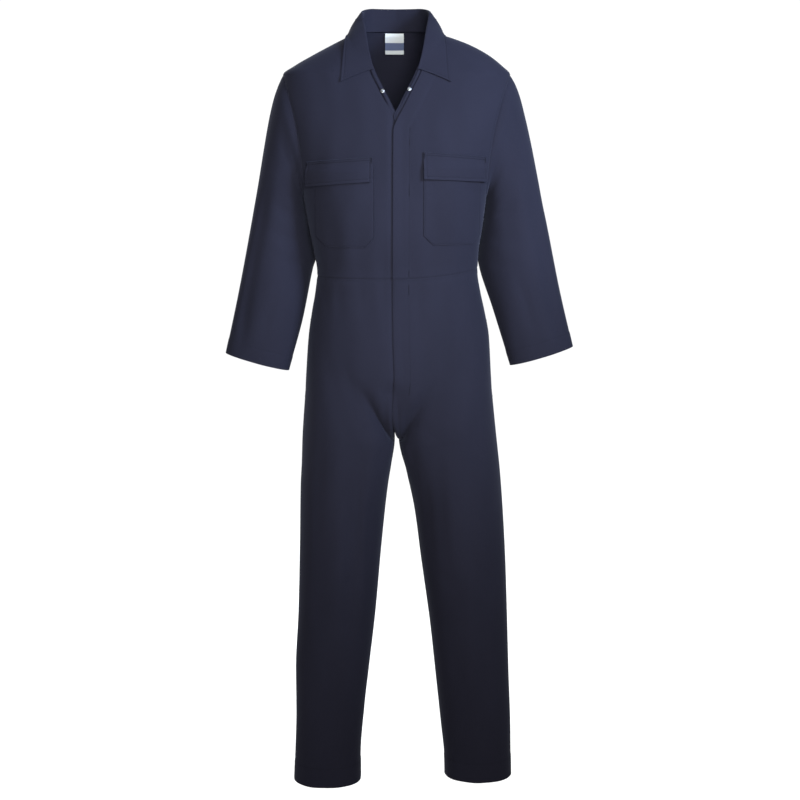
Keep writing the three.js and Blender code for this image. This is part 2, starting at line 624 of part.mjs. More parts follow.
// A press stud: a low dome on the strip, turned to the strip's own face
function stud(side) {
  const z = STUD[side];
  const x = side === 'right' ? sample(RIGHT_EDGE, 'z', z, 'x') + STUD.fromEdge
    : sample(LEFT_EDGE, 'z', z, 'x') - STUD.fromEdge;
  const seat = -LAYER - STRIP_ROOM + WALL / 2 + SEAM_GAP;
  const foot = clothOffset('front', x, z, seat);
  const axis = clothOffset('front', x, z, seat + 10).sub(foot).normalize();
  const outline = [[0, 0], [STUD.radius, 0], [STUD.radius, 0.8], [STUD.ball + 0.6, 1.4],
    [STUD.ball, STUD.height - 0.6], [STUD.ball - 0.8, STUD.height], [0, STUD.height]]
    .map(([radius, height]) => new THREE.Vector2(radius, height));
  const mesh = new THREE.Mesh(new THREE.LatheGeometry(outline, 20), new THREE.MeshStandardMaterial(STEEL));
  mesh.name = `stud_${side}`;
  mesh.position.copy(foot);
  mesh.quaternion.setFromUnitVectors(new THREE.Vector3(0, 1, 0), axis);
  garment.add(mesh);
}

// The normal of a sheet at each of its points, all to the outside
function sheetNormals(sheet) {
  const { points, middles, round } = sheet;
  const rows = points.length;
  const columns = points[0].length;
  const normals = points.map((row) => row.map(() => new THREE.Vector3()));
  const lastColumn = round ? columns : columns - 1;
  for (let j = 0; j < rows - 1; j += 1) {
    for (let i = 0; i < lastColumn; i += 1) {
      const next = (i + 1) % columns;
      const diagonal = points[j + 1][next].clone().sub(points[j][i]);
      const face = diagonal.cross(points[j + 1][i].clone().sub(points[j][next]));
      for (const [row, column] of [[j, i], [j, next], [j + 1, i], [j + 1, next]]) {
        normals[row][column].add(face);
      }
    }
  }
  let outward = 0;
  normals.forEach((row, j) => row.forEach((normal, i) => {
    normal.normalize();
    outward += normal.dot(points[j][i].clone().sub(middles[j]));
  }));
  if (outward < 0) normals.forEach((row) => row.forEach((normal) => normal.negate()));
  return normals;
}

const keyOf = (point) => [point.x, point.y, point.z].map((value) => Math.round(value * 20)).join(' ');

// Normals of all sheets that meet at each point, so that walls are mitred at a seam
function meetingNormals() {
  const meeting = new Map();
  for (const sheet of sheets) {
    sheet.normals = sheetNormals(sheet);
    if (!sheet.mitred) continue;
    sheet.points.forEach((row, j) => row.forEach((point, i) => {
      const key = keyOf(point);
      if (!meeting.has(key)) meeting.set(key, []);
      meeting.get(key).push(sheet.normals[j][i]);
    }));
  }
  return meeting;
}

// The way a wall's faces lie from the sheet at a point: square to it, or mitred at a seam
function wallVector(sheet, j, i, meeting) {
  const own = sheet.normals[j][i];
  if (!sheet.mitred) return own.clone();
  const all = meeting.get(keyOf(sheet.points[j][i]));
  const sum = all.reduce((total, normal) => total.add(normal), new THREE.Vector3());
  const vector = sum.multiplyScalar(all.length / Math.max(sum.lengthSq(), 0.2));
  if (vector.length() > MITRE_LIMIT) vector.setLength(MITRE_LIMIT);
  return vector;
}

// How far an edge point is drawn back into its own sheet to leave the seam's gap
function drawnBack(sheet, j, i) {
  const { points, round } = sheet;
  const shift = new THREE.Vector3();
  const rows = points.length;
  const columns = points[0].length;
  const pull = (inside, before, after) => {
    const along = after.clone().sub(before).normalize();
    const way = inside.clone().sub(points[j][i]);
    way.addScaledVector(along, -way.dot(along)).normalize();
    shift.addScaledVector(way, SEAM_GAP / 2);
  };
  const beside = [points[j][Math.max(0, i - 1)], points[j][Math.min(columns - 1, i + 1)]];
  const above = [points[Math.max(0, j - 1)][i], points[Math.min(rows - 1, j + 1)][i]];
  if (round) {
    beside[0] = points[j][(i + columns - 1) % columns];
    beside[1] = points[j][(i + 1) % columns];
  }
  if (j === 0) pull(points[1][i], ...beside);
  if (j === rows - 1) pull(points[rows - 2][i], ...beside);
  if (!round && i === 0) pull(points[j][1], ...above);
  if (!round && i === columns - 1) pull(points[j][columns - 2], ...above);
  return shift;
}

// A sheet becomes a closed wall: an outer and an inner face joined round the edges
function wallGeometry(sheet, meeting) {
  const { points, round } = sheet;
  const rows = points.length;
  const columns = points[0].length;
  const positions = [];
  for (const face of [1, -1]) {
    points.forEach((row, j) => row.forEach((point, i) => {
      const placed = point.clone().add(drawnBack(sheet, j, i))
        .addScaledVector(wallVector(sheet, j, i, meeting), (face * WALL) / 2);
      positions.push(placed.x, placed.y, placed.z);
    }));
  }
  const layer = rows * columns;
  const outer = (j, i) => j * columns + (i % columns);
  const inner = (j, i) => layer + outer(j, i);
  const faces = [];
  const quad = (a, b, c, d) => faces.push(a, b, c, a, c, d);
  const lastColumn = round ? columns : columns - 1;
  for (let j = 0; j < rows - 1; j += 1) {
    for (let i = 0; i < lastColumn; i += 1) {
      quad(outer(j, i), outer(j, i + 1), outer(j + 1, i + 1), outer(j + 1, i));
      quad(inner(j, i), inner(j + 1, i), inner(j + 1, i + 1), inner(j, i + 1));
    }
  }
  for (let i = 0; i < lastColumn; i += 1) {
    quad(outer(0, i), inner(0, i), inner(0, i + 1), outer(0, i + 1));
    quad(outer(rows - 1, i), outer(rows - 1, i + 1), inner(rows - 1, i + 1), inner(rows - 1, i));
  }
  if (!round) {
    const end = columns - 1;
    for (let j = 0; j < rows - 1; j += 1) {
      quad(outer(j, 0), outer(j + 1, 0), inner(j + 1, 0), inner(j, 0));
      quad(outer(j, end), inner(j, end), inner(j + 1, end), outer(j + 1, end));
    }
  }
  if (enclosed(positions, faces) < 0) {
    for (let k = 0; k < faces.length; k += 3) [faces[k], faces[k + 1]] = [faces[k + 1], faces[k]];
  }
  const geometry = new THREE.BufferGeometry();
  geometry.setAttribute('position', new THREE.Float32BufferAttribute(positions, 3));
  geometry.setIndex(faces);
  geometry.computeVertexNormals();
  return geometry;
}

// Volume inside the faces; it is minus where they point inwards
function enclosed(positions, faces) {
  const corner = (k) => new THREE.Vector3().fromArray(positions, 3 * faces[k]);
  let volume = 0;
  for (let k = 0; k < faces.length; k += 3) {
    volume += corner(k).dot(corner(k + 1).cross(corner(k + 2))) / 6;
  }
  return volume;
}

for (const side of ['right', 'left']) {
  frontPanel(side);
  sleeve(side);
  trouserPanel(side, 'front');
  trouserPanel(side, 'back');
  breastPocket(side);
  pocketFlap(side);
  stud(side);
}
backPanel();
collar();
flyFacing();
underlap();
neckLabel();

const meeting = meetingNormals();
for (const sheet of sheets) {
  const mesh = new THREE.Mesh(wallGeometry(sheet, meeting), new THREE.MeshStandardMaterial(sheet.finish));
  mesh.name = sheet.name;
  garment.add(mesh);
}

export default garment;
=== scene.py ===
"""Looks of a navy twill boiler suit, built piece by piece on the frame of its solids.

Lengths are in millimetres until a mesh is made, and in metres from there on. The origin is the
middle of the neck base, +Z is up and the front faces -Y. The wearer's right side is -X.

The figure that fills the suit is a set of rounded sections. Each cut piece of cloth is a grid of
points on that figure, moved in and out by folds, seams and hems, and made into a thin shell.
"""

from __future__ import annotations

import logging
import math
from dataclasses import dataclass, field
from enum import Enum
from typing import Callable, Iterable

import bpy
import numpy as np
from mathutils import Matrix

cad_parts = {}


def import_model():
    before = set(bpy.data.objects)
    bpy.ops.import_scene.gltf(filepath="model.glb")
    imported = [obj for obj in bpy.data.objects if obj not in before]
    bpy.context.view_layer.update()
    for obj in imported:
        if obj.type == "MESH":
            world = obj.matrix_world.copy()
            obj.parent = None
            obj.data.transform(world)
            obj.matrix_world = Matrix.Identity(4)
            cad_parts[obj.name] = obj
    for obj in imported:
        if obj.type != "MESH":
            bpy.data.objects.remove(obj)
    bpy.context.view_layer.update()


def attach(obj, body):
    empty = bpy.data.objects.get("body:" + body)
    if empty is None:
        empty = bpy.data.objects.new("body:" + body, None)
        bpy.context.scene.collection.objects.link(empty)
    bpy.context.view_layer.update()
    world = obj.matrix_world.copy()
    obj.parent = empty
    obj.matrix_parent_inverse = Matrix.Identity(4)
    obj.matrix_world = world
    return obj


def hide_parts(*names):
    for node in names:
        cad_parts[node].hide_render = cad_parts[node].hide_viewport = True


LOG = logging.getLogger("boiler_suit")
MM = 0.001
BODY_NAME = "root"
Array = np.ndarray
Pair = tuple[float, float]
Triple = tuple[float, float, float]


class Side(Enum):
    """The wearer's right or left, with the direction of that side along X."""

    RIGHT = "right"
    LEFT = "left"

    @property
    def sign(self) -> int:
        """Direction of this side along X."""
        return -1 if self is Side.RIGHT else 1


class Face(Enum):
    """Front or back of the suit, with the direction of that face along Y."""

    FRONT = "front"
    BACK = "back"

    @property
    def sign(self) -> int:
        """Direction of this face along Y."""
        return -1 if self is Face.FRONT else 1


def ease(start: float, end: float, value: Array | float) -> Array:
    """Soft step from 0 at start to 1 at end, f * f * (3 - 2 f).

    Args:
        start: Value at which the step is 0.
        end: Value at which it is 1, above or below the start.
        value: Values to read.

    Returns:
        The step at each value.
    """
    f = np.clip((np.asarray(value, float) - start) / (np.asarray(end, float) - start), 0, 1)
    return f * f * (3 - 2 * f)


def mix(a: Array | float, b: Array | float, f: Array | float) -> Array:
    """Straight blend from a to b.

    Args:
        a: Value at 0.
        b: Value at 1.
        f: Share of the way.

    Returns:
        The blend.
    """
    return a + (np.asarray(b, float) - a) * f


def unit(vectors: Array) -> Array:
    """Vectors cut to length 1.

    Args:
        vectors: Array whose last axis is X, Y, Z.

    Returns:
        The unit vectors.
    """
    return vectors / np.maximum(np.linalg.norm(vectors, axis=-1, keepdims=True), 1e-9)


def crowd(count: int, pull: float) -> Array:
    """Shares from 0 to 1 that lie closer together near both ends.

    Args:
        count: Number of steps.
        pull: 0 for even steps, towards 1 for the closest ends.

    Returns:
        The count + 1 shares, f - pull * sin(2 pi f) / (2 pi).
    """
    f = np.linspace(0, 1, count + 1)
    return f - pull * np.sin(2 * math.pi * f) / (2 * math.pi)


class Table:
    """Rows of sizes against the first column, each read on a smooth curve without overshoot."""

    def __init__(self, columns: str, *rows: tuple[float, ...]) -> None:
        """Args:
        columns: Names of the columns, the key first.
        rows: The rows, in the order of a rising key.
        """
        self.names = columns.split()
        self.values = np.array(rows, float)
        self.key = self.values[:, 0]

    def at(self, column: str, place: Array | float) -> Array:
        """Value of a column at places along the key.

        Between two rows it is the cubic through both, whose slope at a row is the harmonic mean
        of the slopes on either side, or 0 where they differ in sign.

        Args:
            column: Name of the column.
            place: Places along the key.

        Returns:
            The values.
        """
        x = self.key
        y = self.values[:, self.names.index(column)]
        slope = np.diff(y) / np.diff(x)
        product = slope[:-1] * slope[1:]
        total = slope[:-1] + slope[1:]
        inner = np.where(product > 0, 2 * product / np.where(product > 0, total, 1), 0)
        tangent = np.concatenate([slope[:1], inner, slope[-1:]])
        place = np.clip(place, x[0], x[-1])
        k = np.clip(np.searchsorted(x, place, side="right") - 1, 0, len(x) - 2)
        span = x[k + 1] - x[k]
        f = (place - x[k]) / span
        start = y[k] * (1 + 2 * f) * (1 - f) ** 2
        end = y[k + 1] * f * f * (3 - 2 * f)
        bend = f * (1 - f) * (tangent[k] * (1 - f) - tangent[k + 1] * f) * span
        return start + end + bend


@dataclass(frozen=True)
class Fold:
    """A soft trough (minus) or ridge (plus) that runs down the cloth.

    Attributes:
        face: Face of the suit that it is on.
        x: Place across at its top.
        lean: How far it moves sideways for each millimetre of height.
        spread: Half width of its bell curve.
        top: Height at which it starts.
        bottom: Height at which it ends.
        depth: Height of the ridge, or depth of the trough when minus.
        fade: Half of the length over which each end fades out.
    """

    face: Face
    x: float
    lean: float
    spread: float
    top: float
    bottom: float
    depth: float
    fade: float = 70

    def height(self, x: Array, z: Array) -> Array:
        """Height of the fold at places on its face.

        Args:
            x: Places across.
            z: Heights.

        Returns:
            depth * exp(-(distance / spread) ** 2), faded out over its two ends.
        """
        off = x - self.x - self.lean * (z - self.top)
        along = ease(self.bottom - self.fade, self.bottom + self.fade, z)
        along = along * (1 - ease(self.top - self.fade, self.top + self.fade, z))
        return self.depth * np.exp(-((off / self.spread) ** 2)) * along


@dataclass(frozen=True)
class Crease:
    """A finer fold between two points of a face, wider and shallower towards its end.

    Attributes:
        face: Face of the suit that it is on.
        start: X and Z of the end where it is deepest.
        end: X and Z of the end where it runs out.
        spread: Half width at the start and at the end.
        depth: Height of the ridge, or depth of the trough when minus.
        bow: How far its middle lies off the straight line.
        rise: Shares of its length between which it rises to its full depth.
        fall: Shares of its length between which it fades out.
    """

    face: Face
    start: Pair
    end: Pair
    spread: Pair
    depth: float
    bow: float = 0.0
    rise: Pair = (-0.12, 0.22)
    fall: Pair = (0.35, 1.1)

    def height(self, x: Array, z: Array) -> Array:
        """Height of the crease at places on its face.

        Args:
            x: Places across.
            z: Heights.

        Returns:
            A bell curve across the line, rising quickly from the start and fading to the end.
        """
        a = np.array(self.start, float)
        b = np.array(self.end, float)
        length = float(np.linalg.norm(b - a))
        along = (b - a) / length
        f = ((x - a[0]) * along[0] + (z - a[1]) * along[1]) / length
        off = (x - a[0]) * -along[1] + (z - a[1]) * along[0]
        inside = np.clip(f, 0, 1)
        off = off - self.bow * np.sin(math.pi * inside)
        spread = mix(self.spread[0], self.spread[1], inside)
        strength = ease(*self.rise, f) * (1 - ease(*self.fall, f))
        return self.depth * np.exp(-((off / spread) ** 2)) * strength


FRONT = Face.FRONT
BACK = Face.BACK

FOLDS = (
    Fold(FRONT, -20, 0.02, 13, -770, -930, -3.5),
    Fold(FRONT, 24, -0.12, 13, -775, -910, -4),
    Fold(FRONT, -90, 0.03, 14, -970, -1290, -4),
    Fold(FRONT, -98, 0.05, 22, -230, -500, 2.5),
    Fold(FRONT, 118, -0.04, 22, -260, -500, 2.5),
    Fold(FRONT, -268, 0.18, 13, -300, -640, -5),
    Fold(FRONT, 285, -0.2, 13, -330, -620, -5),
    Fold(FRONT, 150, -0.04, 18, -980, -1400, 3),
    Fold(BACK, -60, 0.02, 22, -330, -510, -4),
    Fold(BACK, 66, -0.02, 22, -320, -500, -4),
    Fold(BACK, -70, 0.1, 18, -840, -1010, -6),
    Fold(BACK, 84, -0.1, 18, -850, -1020, -6),
    Fold(BACK, -272, 0.2, 14, -330, -610, -4),
    Fold(BACK, 290, -0.2, 14, -330, -600, -4),
)

FRONT_CREASES = (
    # Chest: soft pulls from the armholes and the collar
    ((-186, -300), (-130, -226), (9, 20), -2.2, 4),
    ((-190, -322), (-120, -300), (8, 18), -1.6, -3),
    ((184, -296), (130, -214), (9, 20), -2.0, -4),
    ((188, -320), (116, -304), (8, 18), -1.5, 3),
    ((-150, -60), (-120, -150), (12, 20), 1.2, 3),
    ((156, -58), (120, -150), (12, 20), 1.2, -3),
    # Waist: short gathers above and below the seam
    ((-150, -506), (-146, -590), (6, 12), -1.4, 1),
    ((-118, -504), (-110, -640), (7, 15), -1.5, -2),
    ((-76, -503), (-66, -620), (7, 14), -1.0, 2),
    ((-40, -504), (-34, -650), (8, 14), 1.0, 0),
    ((52, -500), (46, -640), (7, 14), -1.2, -2),
    ((96, -496), (88, -650), (8, 16), -1.4, 3),
    ((132, -492), (130, -600), (7, 13), -1.5, 0),
    ((-132, -494), (-128, -420), (7, 14), -1.1, 1),
    ((70, -492), (76, -400), (8, 15), -0.9, -1),
    ((140, -486), (136, -410), (7, 14), -1.1, 0),
    # Crotch: folds that fan down from the fork
    ((-10, -838), (-52, -925), (7, 14), -2.2, -4),
    ((-18, -800), (-104, -842), (8, 18), -1.2, -5),
    ((-26, -856), (-46, -1010), (8, 18), -3.0, 4),
    ((14, -838), (56, -925), (7, 14), -2.0, 4),
    ((20, -802), (108, -838), (8, 18), -1.1, 5),
    ((34, -858), (62, -1000), (8, 18), -2.6, -4),
    ((8, -838), (2, -735), (9, 4), -3.4, 1),
    ((-20, -862), (-14, -720), (6, 5), 2.2, -1),
    # Fork: a valley towards the seams' meeting
    ((-9, -715), (-8, -838), (22, 44), -10.0, 0),
    # Legs: long soft drapes and slight breaks at the knees
    ((-76, -890), (-86, -1280), (4, 8), -2.6, 0),
    ((-52, -950), (-64, -1170), (6, 9), -2.2, 1),
    ((-160, -840), (-174, -1300), (12, 17), -3.2, 0),
    ((-122, -820), (-130, -1280), (12, 18), 2.2, 2),
    ((58, -870), (92, -1250), (8, 13), -3.2, -2),
    ((106, -850), (138, -1270), (12, 17), 2.2, 0),
    ((150, -900), (172, -1300), (9, 14), -2.4, 2),
    ((-62, -930), (-86, -1200), (9, 16), 2.4, 4),
    ((-150, -760), (-158, -1060), (12, 22), -1.8, -4),
    ((-118, -1010), (-128, -1330), (10, 20), 1.8, 3),
    ((-80, -1130), (-150, -1180), (10, 20), -1.6, 5),
    ((-92, -1260), (-150, -1230), (10, 20), -1.3, -5),
    ((-150, -1320), (-160, -1560), (12, 20), -1.7, 3),
    ((-116, -1390), (-122, -1590), (9, 15), 1.3, -2),
    ((96, -930), (118, -1190), (9, 18), -2.0, -4),
    ((160, -770), (176, -1060), (12, 22), -1.8, 4),
    ((84, -1120), (150, -1176), (10, 20), -1.6, -5),
    ((100, -1262), (160, -1240), (10, 20), -1.2, 5),
    ((190, -1250), (204, -1540), (12, 20), -1.8, -3),
    ((150, -1380), (160, -1590), (9, 15), -1.3, 2),
    # Sleeves: breaks at the inner elbows and long drapes down the arms
    ((-206, -372), (-262, -340), (9, 18), -2.6, 3),
    ((-196, -420), (-268, -400), (9, 18), -2.4, 4),
    ((-194, -470), (-262, -468), (9, 18), -2.0, -3),
    ((-232, -180), (-236, -330), (10, 16), -2.2, 5),
    ((-300, -420), (-330, -620), (10, 16), -1.8, 3),
    ((-250, -520), (-296, -690), (9, 14), -2.0, -3),
    ((204, -372), (262, -338), (9, 18), -2.6, -3),
    ((198, -424), (272, -398), (9, 18), -2.3, -4),
    ((200, -476), (266, -470), (9, 18), -1.8, 3),
    ((236, -176), (244, -330), (10, 16), -2.0, -5),
    ((306, -400), (344, -610), (10, 16), -1.8, -3),
    ((258, -500), (306, -680), (9, 14), -1.8, 3),
)

BACK_CREASES = (
    # Back: drapes from the shoulder blades, seat and knees
    ((-186, -300), (-120, -180), (10, 22), -2.6, -5),
    ((184, -300), (122, -184), (10, 22), -2.4, 5),
    ((-190, -330), (-110, -330), (9, 20), -1.8, 4),
    ((188, -330), (104, -334), (9, 20), -1.8, -4),
    ((-120, -120), (-110, -360), (14, 24), 1.4, 4),
    ((126, -120), (112, -350), (14, 24), 1.4, -4),
    ((-20, -200), (-14, -470), (12, 20), -1.3, 3),
    ((34, -230), (28, -480), (12, 20), -1.1, -3),
    ((-120, -505), (-112, -640), (8, 15), -1.5, 2),
    ((-44, -504), (-40, -620), (8, 14), -1.2, -2),
    ((40, -502), (44, -630), (8, 14), -1.3, 2),
    ((118, -496), (110, -640), (8, 15), -1.5, -2),
    ((-14, -820), (-110, -900), (9, 20), -4.0, -6),
    ((18, -820), (118, -896), (9, 20), -3.8, 6),
    ((-20, -862), (-120, -980), (9, 20), -2.6, -6),
    ((30, -862), (130, -980), (9, 20), -2.6, 6),
    ((-70, -1150), (-190, -1190), (10, 22), -2.2, 6),
    ((-84, -1230), (-196, -1220), (10, 22), -2.2, -5),
    ((96, -1140), (214, -1186), (10, 22), -2.2, -6),
    ((108, -1226), (220, -1214), (10, 22), -2.0, 5),
    ((-150, -1300), (-160, -1580), (12, 20), -1.6, 3),
    ((188, -1290), (200, -1570), (12, 20), -1.6, -3),
    ((-206, -380), (-280, -400), (9, 18), -2.6, 4),
    ((-204, -450), (-286, -450), (9, 18), -2.4, -4),
    ((206, -380), (286, -400), (9, 18), -2.6, -4),
    ((206, -450), (294, -450), (9, 18), -2.4, 4),
    ((-246, -150), (-256, -330), (10, 18), -1.8, 4),
    ((250, -150), (262, -330), (10, 18), -1.8, -4),
)

CREASES = (
    *(Crease(FRONT, *row) for row in FRONT_CREASES),
    *(Crease(BACK, *row) for row in BACK_CREASES),
)


@dataclass(frozen=True)
class Ripple:
    """Faint unevenness of hanging cloth: long waves whose strength comes and goes.

    Attributes:
        height: Largest height of one wave.
        waves: Number of waves that are added up.
        seed: Start of the number row that gives their lengths and places.
        across: Shortest and longest wave across.
        down: Shortest and longest wave down the cloth.
        swell: Shortest and longest distance down over which a wave comes and goes.
        swell_across: The same distance across.
    """

    height: float = 0.34
    waves: int = 9
    seed: int = 11
    across: Pair = (34, 90)
    down: Pair = (260, 620)
    swell: Pair = (300, 520)
    swell_across: float = 400

    def at(self, x: Array, z: Array, face: int) -> Array:
        """Height of the ripple at places on one face.

        Args:
            x: Places across.
            z: Heights.
            face: -1 for the front and 1 for the back.

        Returns:
            Sum of sin(a x + b z + phase), each times a slower wave.
        """
        draw = np.random.default_rng(self.seed + face)
        total = np.zeros(np.broadcast(x, z).shape)
        for _ in range(self.waves):
            across = 2 * math.pi / draw.uniform(*self.across) * draw.choice([-1, 1])
            down = 2 * math.pi / draw.uniform(*self.down)
            phase, slow_phase = draw.uniform(0, 2 * math.pi, 2)
            turns = z / draw.uniform(*self.swell) + x / self.swell_across
            slow = 0.5 + 0.5 * np.sin(2 * math.pi * turns + slow_phase)
            total = total + np.sin(across * x + down * z + phase) * slow
        return total * self.height


@dataclass(frozen=True)
class Figure:
    """The filled-out form that the pieces lie on, in rounded sections, with its folds.

    Attributes:
        body_round: Roundness of a torso section, 2 for an ellipse and more for a fuller one.
        leg_round: Roundness of a leg section.
        thigh_full: How much rounder the inner thigh is just under the fork.
        thigh_range: Heights between which that grows.
        waist_z: Height of the waist seam at the wearer's right.
        waist_lift: How much higher it is at the left.
        rise_z: Height at which a hip section starts to turn into two legs near the closing.
        thigh_z: The same height at the side seam.
        thigh_seam: Share of a panel over which that turn becomes soft.
        thigh_start: Share of a panel at which it has reached the side seam's height.
        nape_lift: How much higher the neck seam is at the back.
        neck_taper: How fast the body narrows above the neck seam.
        nape_z: Height at which the lift at the back starts.
        armhole: How far the armhole stands forwards, backwards and inwards at its middle.
        fold_side: Depth of section over which folds fade out towards the side.
        search: Number of halvings in a search for a place.
        thigh_share: Shares of a panel between which the inner thigh's fullness ends.
    """

    body_round: float = 2.4
    leg_round: float = 2.2
    thigh_full: float = 1.1
    thigh_range: Pair = (-1020, -860)
    neck_z: float = 4
    shoulder_z: float = -80
    armpit_z: float = -335
    waist_z: float = -499
    waist_lift: float = 18
    rise_z: float = -745
    thigh_z: float = -600
    thigh_seam: float = 0.3
    thigh_start: float = 0.6
    crotch_z: float = -848
    hem_z: Pair = (-1624, -1612)
    nape_lift: float = 8
    neck_taper: float = 1.6
    nape_z: float = -26
    armhole: Triple = (70, 78, 13)
    fold_side: float = 35
    search: int = 22
    thigh_share: Pair = (0.55, 0.2)
    ripple: Ripple = field(default_factory=Ripple)

    body: Table = Table(
        "z right left front back",
        (-860, 203, 218, 121, 134),
        (-785, 198, 211, 124, 139),
        (-705, 191, 202, 124, 138),
        (-626, 186, 198, 121, 130),
        (-575, 179, 189, 118, 120),
        (-530, 171, 179, 115, 111),
        (-490, 167, 173, 115, 107),
        (-444, 174, 175, 121, 108),
        (-404, 182, 181, 127, 111),
        (-360, 190, 187, 131, 115),
        (-335, 194, 190, 133, 118),
        (-260, 200, 197, 134, 124),
        (-207, 208, 205, 131, 126),
        (-160, 216, 214, 123, 123),
        (-120, 226, 226, 113, 116),
        (-80, 235, 238, 99, 105),
        (-62, 211, 221, 91, 98),
        (-41, 174, 194, 81, 90),
        (-20, 134, 155, 69, 80),
        (-6, 106, 118, 58, 73),
        (4, 85, 85, 48, 68),
    )
    right_edge: Table = Table(
        "z x",
        (-848, -2), (-797, -7), (-758, -4), (-700, -1.5), (-622, -5),
        (-499, -6), (-190, -6), (-172, -6), (-148, -17), (-118, -33),
        (-78, -53), (-50, -63), (-20, -71), (4, -77),
    )
    left_edge: Table = Table(
        "z x",
        (-848, -4), (-797, -9), (-758, -6), (-700, -2.5), (-622, -5),
        (-499, -6), (-196, -5), (-174, 3), (-148, 17), (-118, 32),
        (-78, 52), (-50, 62), (-20, 71), (4, 77),
    )
    right_leg: Table = Table(
        "z outer inner front back",
        (-1626, 228, 80, 64, 84),
        (-1578, 226, 80, 64, 84),
        (-1458, 222, 71, 68, 84),
        (-1370, 222, 61, 73, 84),
        (-1240, 215, 46, 80, 86),
        (-1084, 210, 32, 90, 95),
        (-953, 207, 18, 105, 114),
        (-901, 204, 10, 112, 123),
        (-848, 202, 3, 117, 130),
        (-740, 194, 3, 125, 141),
    )
    left_leg: Table = Table(
        "z outer inner front back",
        (-1616, 257, 110, 64, 84),
        (-1578, 256, 109, 64, 84),
        (-1488, 254, 100, 67, 84),
        (-1375, 249, 88, 73, 84),
        (-1264, 245, 76, 79, 86),
        (-1118, 239, 56, 88, 93),
        (-1004, 232, 41, 99, 108),
        (-919, 225, 23, 110, 121),
        (-848, 217, 7, 117, 130),
        (-740, 205, 7, 125, 141),
    )
    right_arm: Table = Table(
        "t top_x top_z under_x under_z depth middle bow tuck",
        (0.0, 235, -80, 194, -335, 74, 4, 13, 0),
        (0.06, 246, -103, 196, -332, 79, 6, 9, 12),
        (0.12, 256, -130, 194, -343, 81, 9, 6, 24),
        (0.2, 266, -168, 191.5, -362, 81, 13, 3, 30),
        (0.32, 278, -228, 186, -391, 79, 18, 0, 30),
        (0.46, 292, -305, 177, -430, 75, 21, 0, 28),
        (0.54, 302, -358, 173, -462, 71, 20, 0, 24),
        (0.6, 310, -400, 179, -484, 68, 19, 0, 16),
        (0.8, 336, -535, 199, -586, 54, 4, 0, 0),
        (1.0, 363, -662, 230, -699, 38, -16, 0, 0),
    )
    left_arm: Table = Table(
        "t top_x top_z under_x under_z depth middle bow tuck",
        (0.0, 238, -80, 190, -335, 74, 4, 13, 0),
        (0.06, 250, -101, 191.5, -332, 79, 6, 9, 12),
        (0.12, 260, -126, 189.5, -343, 81, 9, 6, 24),
        (0.2, 270, -160, 188, -362, 81, 13, 3, 30),
        (0.32, 284, -216, 184, -391, 79, 18, 0, 30),
        (0.46, 301, -295, 177, -430, 75, 21, 0, 28),
        (0.54, 312, -350, 175.5, -458, 71, 20, 0, 22),
        (0.6, 321, -390, 179, -480, 68, 19, 0, 16),
        (0.8, 349, -528, 208, -570, 54, 4, 0, 0),
        (1.0, 377, -648, 245, -688, 38, -16, 0, 0),
    )

    def leg(self, side: Side) -> Table:
        """Sections of one leg."""
        return self.right_leg if side is Side.RIGHT else self.left_leg

    def arm(self, side: Side) -> Table:
        """Rings of one sleeve."""
        return self.right_arm if side is Side.RIGHT else self.left_arm

    def edge(self, side: Side, z: Array) -> Array:
        """Place across of the front edge of one side."""
        table = self.right_edge if side is Side.RIGHT else self.left_edge
        return table.at("x", z)

    def front_edge(self, side: Side, face: Face, z: Array) -> Array:
        """Where a trouser panel starts: the closing line, or the back seam that meets it.

        Args:
            side: Side of the wearer.
            face: Front or back.
            z: Heights.

        Returns:
            Places across, which at the back run from 0 at the waist to the closing line below.
        """
        edge = self.edge(side, z)
        return edge * ease(self.waist_z, self.crotch_z, z) if face is BACK else edge

    def waist(self, side: Side, share: Array) -> Array:
        """Height of the waist seam, which rises a little towards the wearer's left."""
        lift = self.waist_lift * ease(0, 1, share)
        return self.waist_z + (lift if side is Side.LEFT else 0 * lift)

    def folded(self, points: Array, middle_y: Array | float = 0.0) -> Array:
        """Moves points in or out along Y where folds run, fading out towards the side.

        Args:
            points: Points on the smooth form.
            middle_y: Y of the middle of each section.

        Returns:
            The moved points.
        """
        x, y, z = points[..., 0], points[..., 1], points[..., 2]
        out = np.sign(y - middle_y)
        amount = np.zeros(x.shape)
        for face in Face:
            on_face = sum(f.height(x, z) for f in (*FOLDS, *CREASES) if f.face is face)
            on_face = on_face + self.ripple.at(x, z, face.sign)
            amount = np.where(out == face.sign, on_face, amount)
        side = np.minimum(1, np.abs(y - middle_y) / self.fold_side)
        return np.stack([x, y + out * amount * side, z], axis=-1)

    def armhole_angle(self, z: Array) -> Array:
        """Angle along the armhole at a height: 0 at the shoulder point, pi at the armpit."""
        half = (self.shoulder_z - self.armpit_z) / 2
        return np.arccos(np.clip((z - self.armpit_z - half) / half, -1, 1))

    def section(self, side: Side, face: Face, z: Array) -> tuple[Array, Array, Array]:
        """One quarter of a torso section.

        Args:
            side: Side of the wearer.
            face: Front or back.
            z: Heights.

        Returns:
            Its depth, its half width, and the angle where the cloth ends.
        """
        angle = self.armhole_angle(z)
        arm = self.arm(side)
        straight = mix(arm.at("under_x", 0), arm.at("top_x", 0), (1 + np.cos(angle)) / 2)
        stand = self.armhole[0] if face is FRONT else self.armhole[1]
        beyond = (z <= self.armpit_z) | (z >= self.shoulder_z)
        end_x = np.where(beyond, self.body.at(side.value, z), straight - self.armhole[2] * np.sin(angle) ** 2)
        end_y = np.where(beyond, 0, stand * np.sin(angle))
        depth = self.body.at(face.value, z)
        n = self.body_round
        width = end_x / (1 - (end_y / depth) ** n) ** (1 / n)
        return depth, width, np.arctan2(end_x / width, end_y / depth)

